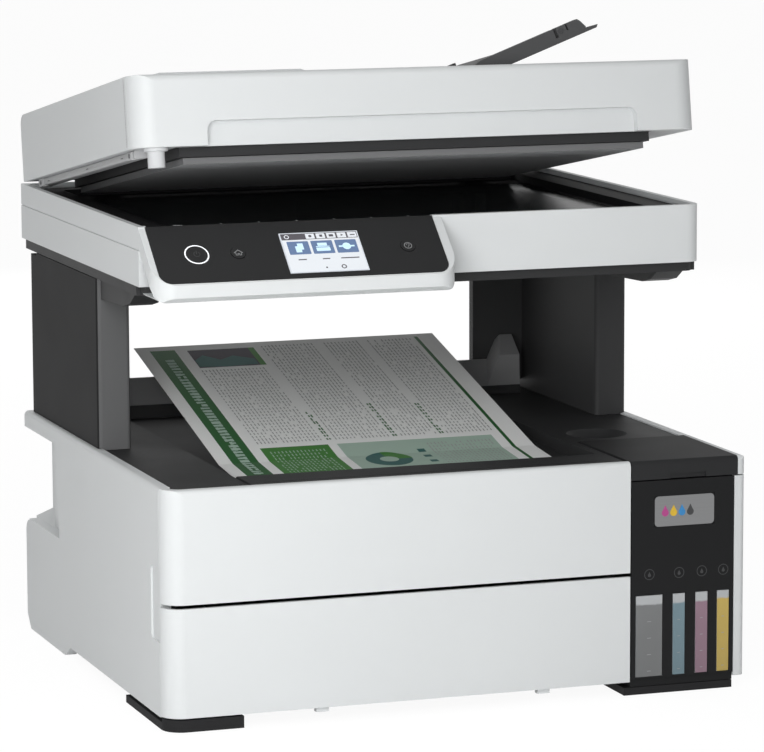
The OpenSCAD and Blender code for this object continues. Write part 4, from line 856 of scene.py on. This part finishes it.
class PRINTER_OT_screen(Operator):
    """Draws the touch screen's picture, as generic tiles and signs"""

    bl_idname = "printer.screen"
    bl_label = "Screen picture"

    def execute(self, context):
        (cx, cy), (across, up) = SCREEN_AT, SCREEN_HALF
        x0, x1, y0, y1 = cx - across, cx + across, cy - up, cy + up
        ink = 0.04

        def layer(name, finish, low, *outlines, line=(), circle=None):
            parts = [(prism, outline, low, low + ink) for outline in outlines]
            parts.append((stroke, line, 0.6, low, low + ink))
            if circle:
                parts.append((ring, *circle, low, low + ink, 24))
            add_solids("screen_" + name, on_panel(), "screen " + finish, "scanner", "screen",
                *parts)

        layer("picture", "pale", 0.31, oblong(x0, y0, x1, y1))
        layer("bar", "bar", 0.36, oblong(x0, y1 - 5, x1, y1))
        tiles = [x0 + 2.4 + i * 15.2 for i in range(3)]
        layer("tiles", "tile", 0.36,
            *(rounded(x, y1 - 17, x + 13.6, y1 - 6.4, 0.5) for x in tiles))
        layer("bar_signs", "pale", 0.41,
            *(rounded(x0 + 15.6 + i * 6.7, y1 - 4.6, x0 + 21.2 + i * 6.7, y1 - 0.5, 0.4)
                for i in range(5)), circle=((x0 + 3.5, y1 - 2.5), 1.6, 1.1))
        layer("bar_glyphs", "bar", 0.46, disc((x0 + 18.4, y1 - 2.5), 1.0, 12),
            oblong(x0 + 24.4, y1 - 3.4, x0 + 26.2, y1 - 1.6),
            rounded(x0 + 30.4, y1 - 3.5, x0 + 33.2, y1 - 1.7, 0.4),
            disc((x0 + 38.6, y1 - 2.5), 1.0, 3), oblong(x0 + 44, y1 - 3, x0 + 47, y1 - 2.2))
        a, b, c = (x + 6.8 for x in tiles)
        m = y1 - 11.7
        layer("signs", "sign", 0.41, oblong(a - 2.2, m - 3.6, a + 1.4, m + 1.4),
            oblong(a - 0.6, m - 1.4, a + 3, m + 3.6),
            rounded(b - 4.4, m - 3.2, b + 4.4, m - 0.4, 0.6),
            oblong(b - 3, m + 1, b + 3, m + 3.4), disc((c, m), 2.7, 20),
            oblong(c - 5, m - 0.6, c + 5, m + 0.6), line=[(b - 4, m + 0.4), (b + 4, m + 0.4)])
        low, high = y0 + 9.3, y0 + 10.1
        layer("captions", "bar", 0.41, oblong(a - 2.6, low, a + 2.6, high),
            oblong(b - 2.4, low, b + 2.2, high), oblong(c - 6, low, c + 5.6, high),
            disc((cx - 1.4, y0 + 2.6), 0.6, 12), circle=((cx + 9.6, y0 + 2.8), 1.7, 1.0))
        return {"FINISHED"}


class PRINTER_OT_buttons(Operator):
    """Draws the signs on the three buttons"""

    bl_idname = "printer.buttons"
    bl_label = "Button signs"

    def execute(self, context):
        add_solids("power_light", on_panel(), "button light", "scanner", "grey_plastic",
            (ring, POWER_AT, 7.6, 6.8, 0.205, 0.27, 64))
        x, y = POWER_AT
        add_solids("power_sign", on_panel(), "mark dark", "power_button", "grey_plastic",
            (stroke, arc(POWER_AT, 1.9, 50, -238, 12), 0.4, *BUTTON_SIGN),
            (stroke, [(x, y + 0.3), (x, y + 2.6)], 0.4, *BUTTON_SIGN))
        x, y = HOME_AT
        roof = [(x - 2.6, y - 0.1), (x, y + 2.1), (x + 2.6, y - 0.1)]
        half = [(0.5, -0.7), (0.5, -2), (1.7, -2), (1.7, -0.2)]
        walls = [(x - across, y + up) for across, up in half[::-1]]
        walls += [(x + across, y + up) for across, up in half]
        add_solids("home_sign", on_panel(), "mark grey", "home_button", "grey_plastic",
            (stroke, roof, 0.45, *BUTTON_SIGN), (stroke, walls, 0.4, *BUTTON_SIGN))
        x, y = HELP_AT
        hook = arc((x, y + 0.5), 0.9, 170, -55, 9) + [(x, y - 0.5)]
        add_solids("help_sign", on_panel(), "mark grey", "help_button", "grey_plastic",
            (ring, HELP_AT, 2.5, 2.1, *BUTTON_SIGN, 32), (stroke, hook, 0.35, *BUTTON_SIGN),
            (prism, disc((x, y - 1.2), 0.28, 10), *BUTTON_SIGN))
        return {"FINISHED"}


class PRINTER_OT_inks(Operator):
    """Makes the ink in the four tank windows, with its level marks and signs"""

    bl_idname = "printer.inks"
    bl_label = "Inks"

    def execute(self, context):
        place = facing_front()
        for name, x0, x1, _, _ in WINDOWS:
            pane = rounded(x0 + 0.1, WINDOW_Z[0], x1 - 0.1, WINDOW_Z[1], 0.5)
            add_solids(name, place, name, "base", "clear_tank", (prism, pane, -0.3, -0.08))
            middle = (x0 + x1) / 2
            add_bars(name + "_marks", place @ Matrix.Translation((middle, 14.6, -0.04))
                @ Matrix.Rotation(math.pi / 2, 4, "Z"), "mark grey", "base", "clear_tank",
                4, 10.4, 0.35, 2.6 if x1 - x0 > 10 else 1.8, 0.08)
            add_solids(name + "_sign", place, "mark dark", "base", "black_plastic",
                (ring, (middle, SIGN_Z), 3.4, 3.0, -0.02, 0.05, 36),
                (prism, drop_outline((middle, SIGN_Z - 0.5), 2.0), -0.02, 0.05))
        return {"FINISHED"}


class PRINTER_OT_plate(Operator):
    """Dresses the small plate with four plain ink drops"""

    bl_idname = "printer.plate"
    bl_label = "Front plate"

    def execute(self, context):
        low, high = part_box("badge_plate")
        left, middle = low.x / MM, (low.z + high.z) / 2 / MM
        for index, finish in enumerate(("cap magenta", "cap yellow", "cap cyan", "mark dark")):
            drop = drop_outline((left + 7.0 + 5.6 * index, middle - 1), 4.6)
            add_solids(f"plate_drop_{index + 1}", facing_front(), finish, "base",
                "silver_plate", (prism, drop, -0.01, 0.03))
        return {"FINISHED"}


class PRINTER_OT_screws(Operator):
    """Sets the screws of the rear cover"""

    bl_idname = "printer.screws"
    bl_label = "Screws"

    def execute(self, context):
        points = bpy.data.meshes.new("screw points")
        points.from_pydata([(x, z, SCREW_FOOT) for x, z in REAR_SCREWS], [], [])
        mesh = screw_tree().bake("rear_screws", points, Height=SCREW_HEIGHT,
            Diameter=context.scene.printer_sizes.screw_size / MM,
            Material=FINISH["drawn steel"])
        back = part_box("rear_cover")[1].y / MM
        place_mesh(mesh, facing_back(back))
        mesh.flip_normals()
        add_piece("rear_screws", mesh, "drawn steel", "base")
        return {"FINISHED"}


class PRINTER_OT_marks(Operator):
    """Puts the paper-size marks and the corner mark by the glass"""

    bl_idname = "printer.marks"
    bl_label = "Size marks"

    def execute(self, context):
        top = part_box("platen_frame")[1].z / MM
        add_bars("glass_ticks", Matrix.Translation((-130, -105.2, top + 0.03)), "mark white",
            "scanner", "black_plastic", 12, 24.0, 0.5, 3.0, 0.1)
        add_solids("glass_corner", Matrix(), "mark white", "scanner", "black_plastic",
            (prism, [(-160, -106.6), (-154.5, -106.6), (-160, -104.2)], top, top + 0.08))
        return {"FINISHED"}


class PRINTER_OT_channel(Operator):
    """Hangs the wiring channel under the lid's left edge, with its clips and screws"""

    bl_idname = "printer.channel"
    bl_label = "Lid channel"

    def execute(self, context):
        left, right, low, high, front, back = CHANNEL
        # clips at both ends and a rib along the side
        add_solids("lid_channel", in_lid() @ facing_front(0), "channel grey", "lid",
            "grey_plastic", (prism, rounded(left, low, right, high, 1.2, 3), -back, -front),
            *((prism, oblong(left - 0.9, low - 0.5, left + 3, high - 0.4), -y - 9, -y)
                for y in (front + 3, back - 14)),
            (prism, oblong(left - 0.5, low + 1.6, left + 1, low + 2.4), 16 - back, -front - 14))
        # screws in the clips and slots between them
        add_solids("lid_channel_clips", in_lid() @ facing_left(left - 0.9), "mark dark", "lid",
            "grey_plastic", *((ring, (-y, low + 2.2), 1.5, 0.8, 0, 0.25, 20)
                for y in (front + 7.5, back - 9.5)),
            *((prism, oblong(-y - 2.2, low + 1.7, -y + 2.2, low + 2.3), 0, 0.25)
                for y in (front + 24, 20, back - 30)))
        return {"FINISHED"}


class PRINTER_OT_feeder(Operator):
    """Puts the sheet signs and size marks on the document feeder"""

    bl_idname = "printer.feeder"
    bl_label = "Feeder marks"

    def execute(self, context):
        seal = (71.2, 3.6)
        add_solids("feeder_seal", on_tray() @ facing_front(-86.0), "mark dark", "adf_tray",
            "grey_plastic", (ring, seal, 1.7, 1.2, -0.02, 0.12, 28),
            (prism, disc(seal, 0.5, 16), -0.02, 0.12))
        add_bars("feeder_ticks", on_tray() @ Matrix.Translation((12, -70, -0.37)), "mark grey",
            "adf_tray", "grey_plastic", 6, 14.0, 0.6, 4.0, 0.1)
        # a sheet with its face up, pressed into the cover
        low, high = 346.0, 346.08
        sheet = [(-132, 92), (-112, 92), (-112, 118), (-119, 125), (-132, 125), (-132, 92)]
        add_solids("feeder_sign", in_lid(), "mark grey", "adf_cover", "white_plastic",
            (stroke, sheet, 0.8, low, high),
            *((stroke, [(-128, y), (-116, y)], 0.7, low, high) for y in (99, 105, 111)))
        return {"FINISHED"}


class PRINTER_OT_rear(Operator):
    """Cuts the rear corners back and lines both carrying grips"""

    bl_idname = "printer.rear"
    bl_label = "Rear cover and grips"

    def execute(self, context):
        near, far = GRIP_CUT_X
        front, back = GRIP_CUT_Y
        cutter = new_object("grip cutter", solids("grip cutter", Matrix(),
            *((prism, oblong(x, front, x + far - near, back), *GRIP_CUT_Z)
                for x in (-far, near))))
        for node, name, finish, slot in (
                ("rear_cover", "rear_panel", "support grey", "grey_plastic"),
                ("bottom_chassis", "chassis_tub", "deck charcoal", "charcoal_plastic")):
            draft = new_object(name, merged_copy(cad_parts[node].data))
            cut = draft.modifiers.new("grips", "BOOLEAN")
            cut.operation = "DIFFERENCE"
            cut.solver = "EXACT"
            cut.object = cutter
            mesh = final_mesh(draft)
            mesh.name = name
            mesh.materials.clear()
            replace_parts(add_piece(name, mesh, finish, "base"), node)
        bpy.data.objects.remove(cutter)
        low, high = GRIP_Z
        floor = lambda x: GRIP_EDGE + GRIP_SLOPE * (GRIP_FLOOR[0][0] - abs(x))
        add_solids("grip_linings", Matrix(), "cover white", "base", "white_plastic",
            *((prism, [(side * x, y) for x, y in outline[::side]], low, top)
                for side in (-1, 1) for outline, top in ((GRIP_WALL, high), (GRIP_FLOOR, floor))))
        return {"FINISHED"}


class PRINTER_OT_seams(Operator):
    """Draws the fine seams where the lid's side panels meet its front"""

    bl_idname = "printer.seams"
    bl_label = "Lid seams"

    def execute(self, context):
        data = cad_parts["lid_shell"].data
        data.calc_loop_triangles()
        tree = BVHTree.FromPolygons([v.co for v in data.vertices],
            [t.vertices for t in data.loop_triangles])

        def seam(work, side):
            rows = []
            for step in range(SEAM_STEPS + 1):
                height = SEAM_Z[0] + (SEAM_Z[1] - SEAM_Z[0]) * step / SEAM_STEPS
                pair = []
                for height_ramp in SEAM_Y:
                    start = in_lid() @ Vector((side * SEAM_START, height_ramp, height)) * MM
                    hit = tree.ray_cast(start, Vector((-side, 0, 0)), SEAM_REACH)[0]
                    if hit is not None and abs(hit.x) > SEAM_OUT:
                        lift = Vector((side * SEAM_LIFT, 0, 0))
                        pair.append(work.verts.new((hit + lift) / MM))
                if len(pair) == 2:
                    rows.append(pair)
            for a, b in zip(rows, rows[1:]):
                work.faces.new((a[0], b[0], b[1], a[1])[::side])

        add_solids("lid_seams", Matrix(), "mark dark", "lid", "white_plastic", (seam, -1),
            (seam, 1))
        return {"FINISHED"}


def studio_finish():
    """The floor's matt white, which glows for the camera, mirrors and glass alone."""
    make, surface = new_finish("studio white")
    tooth = make.math("MULTIPLY", make.noise(make.place(), 40.0, 3.0), 0.02)
    make.feed(surface, Roughness=0.9,
        Base_Color=make.tint(make.math("ADD", 0.985, tooth), (0.9, 0.9, 0.9, 1)))
    rays = make.node("ShaderNodeLightPath").outputs
    seen = make.math("MAXIMUM", rays["Is Camera Ray"],
        make.math("MAXIMUM", rays["Is Glossy Ray"], rays["Is Transmission Ray"]))
    glow = make.node("ShaderNodeEmission", Color=(1, 1, 1, 1), Strength=1.04)
    mix = make.node("ShaderNodeMixShader", in0=make.math("MULTIPLY", seen, 0.9),
        in1=surface, in2=glow)
    make.feed(make.tree.nodes["Material Output"], Surface=mix)


class PRINTER_OT_stage(Operator):
    """Sets the floor, the soft lights and the camera"""

    bl_idname = "printer.stage"
    bl_label = "Stage"

    def execute(self, context):
        scene = context.scene
        bend, radius = FLOOR_BEND
        profile = [(-FLOOR_HALF, 0.0), (bend, 0.0)]
        profile += arc((bend, radius), radius, -84, 0, 14) + [(bend + radius, BACKDROP_TOP)]
        count = len(profile)
        mesh = bpy.data.meshes.new("studio floor")
        mesh.from_pydata([(x, y, z) for x in (-FLOOR_HALF, FLOOR_HALF) for y, z in profile], [],
            [(i, count + i, count + i + 1, i + 1) for i in range(count - 1)])
        mesh.shade_smooth()
        studio_finish()
        mesh.materials.append(FINISH["studio white"])
        new_object("studio_floor", mesh)

        scene.world = bpy.data.worlds.new("studio air")
        scene.world.use_nodes = True
        air = Shading(scene.world.node_tree)
        shown = air.node("ShaderNodeLightPath").outputs["Is Camera Ray"]
        air.feed(air.tree.nodes["Background"], Color=(1, 1, 1, 1),
            Strength=air.math("ADD", AIR_LIGHT, air.math("MULTIPLY", shown, AIR_SHOWN)))
        for name, at, size, power in LAMPS:
            light = bpy.data.lights.new(name, "AREA")
            light.shape = "DISK"
            light.size = size
            light.energy = power
            lamp = new_object(name, light)
            lamp.location = at
            lamp.visible_camera = False
            lamp.visible_glossy = name != "back softbox"
            aim = Vector(LAMP_AIM) - Vector(at)
            lamp.rotation_euler = aim.to_track_quat("-Z", "Y").to_euler()

        camera = new_object("camera", bpy.data.cameras.new("camera"))
        camera.data.sensor_width = 36.0
        camera.data.lens = CAMERA_LENS
        camera.data.clip_end = 50.0
        turn = Vector(CAMERA_FORWARD).to_track_quat("-Z", "Y").to_matrix().to_4x4()
        roll = Matrix.Rotation(math.radians(CAMERA_ROLL), 4, "Z")
        camera.matrix_world = Matrix.Translation(CAMERA_AT) @ turn @ roll
        scene.camera = camera
        scene.view_settings.view_transform = "Standard"
        return {"FINISHED"}


class PRINTER_PT_sidebar(Panel):
    """Lists the printer's operators, sizes and colours"""

    bl_label = "Printer"
    bl_idname = "PRINTER_PT_sidebar"
    bl_space_type = "VIEW_3D"
    bl_region_type = "UI"
    bl_category = "Printer"

    def draw(self, context):
        for operator in OPERATORS:
            self.layout.operator(operator.bl_idname)
        for owner in (context.scene.printer_sizes, context.scene.printer_colours):
            for name in owner.__annotations__:
                self.layout.prop(owner, name)


OPERATORS = (PRINTER_OT_finishes, PRINTER_OT_page, PRINTER_OT_screen, PRINTER_OT_buttons,
    PRINTER_OT_inks, PRINTER_OT_plate, PRINTER_OT_screws, PRINTER_OT_marks, PRINTER_OT_channel,
    PRINTER_OT_feeder, PRINTER_OT_rear, PRINTER_OT_seams, PRINTER_OT_stage)
CLASSES = (PrinterColours, PrinterSizes, *OPERATORS, PRINTER_PT_sidebar)


def register():
    """Registers the classes and the scene's sizes and colours."""
    for made in CLASSES:
        bpy.utils.register_class(made)
    bpy.types.Scene.printer_colours = PointerProperty(type=PrinterColours)
    bpy.types.Scene.printer_sizes = PointerProperty(type=PrinterSizes)


def unregister():
    """Takes the classes and properties out again."""
    del bpy.types.Scene.printer_sizes
    del bpy.types.Scene.printer_colours
    for made in reversed(CLASSES):
        bpy.utils.unregister_class(made)


def main():
    """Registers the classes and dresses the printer."""
    register()
    for operator in OPERATORS:
        getattr(bpy.ops.printer, operator.bl_idname.split(".")[1])()


if __name__ == "__main__":
    main()
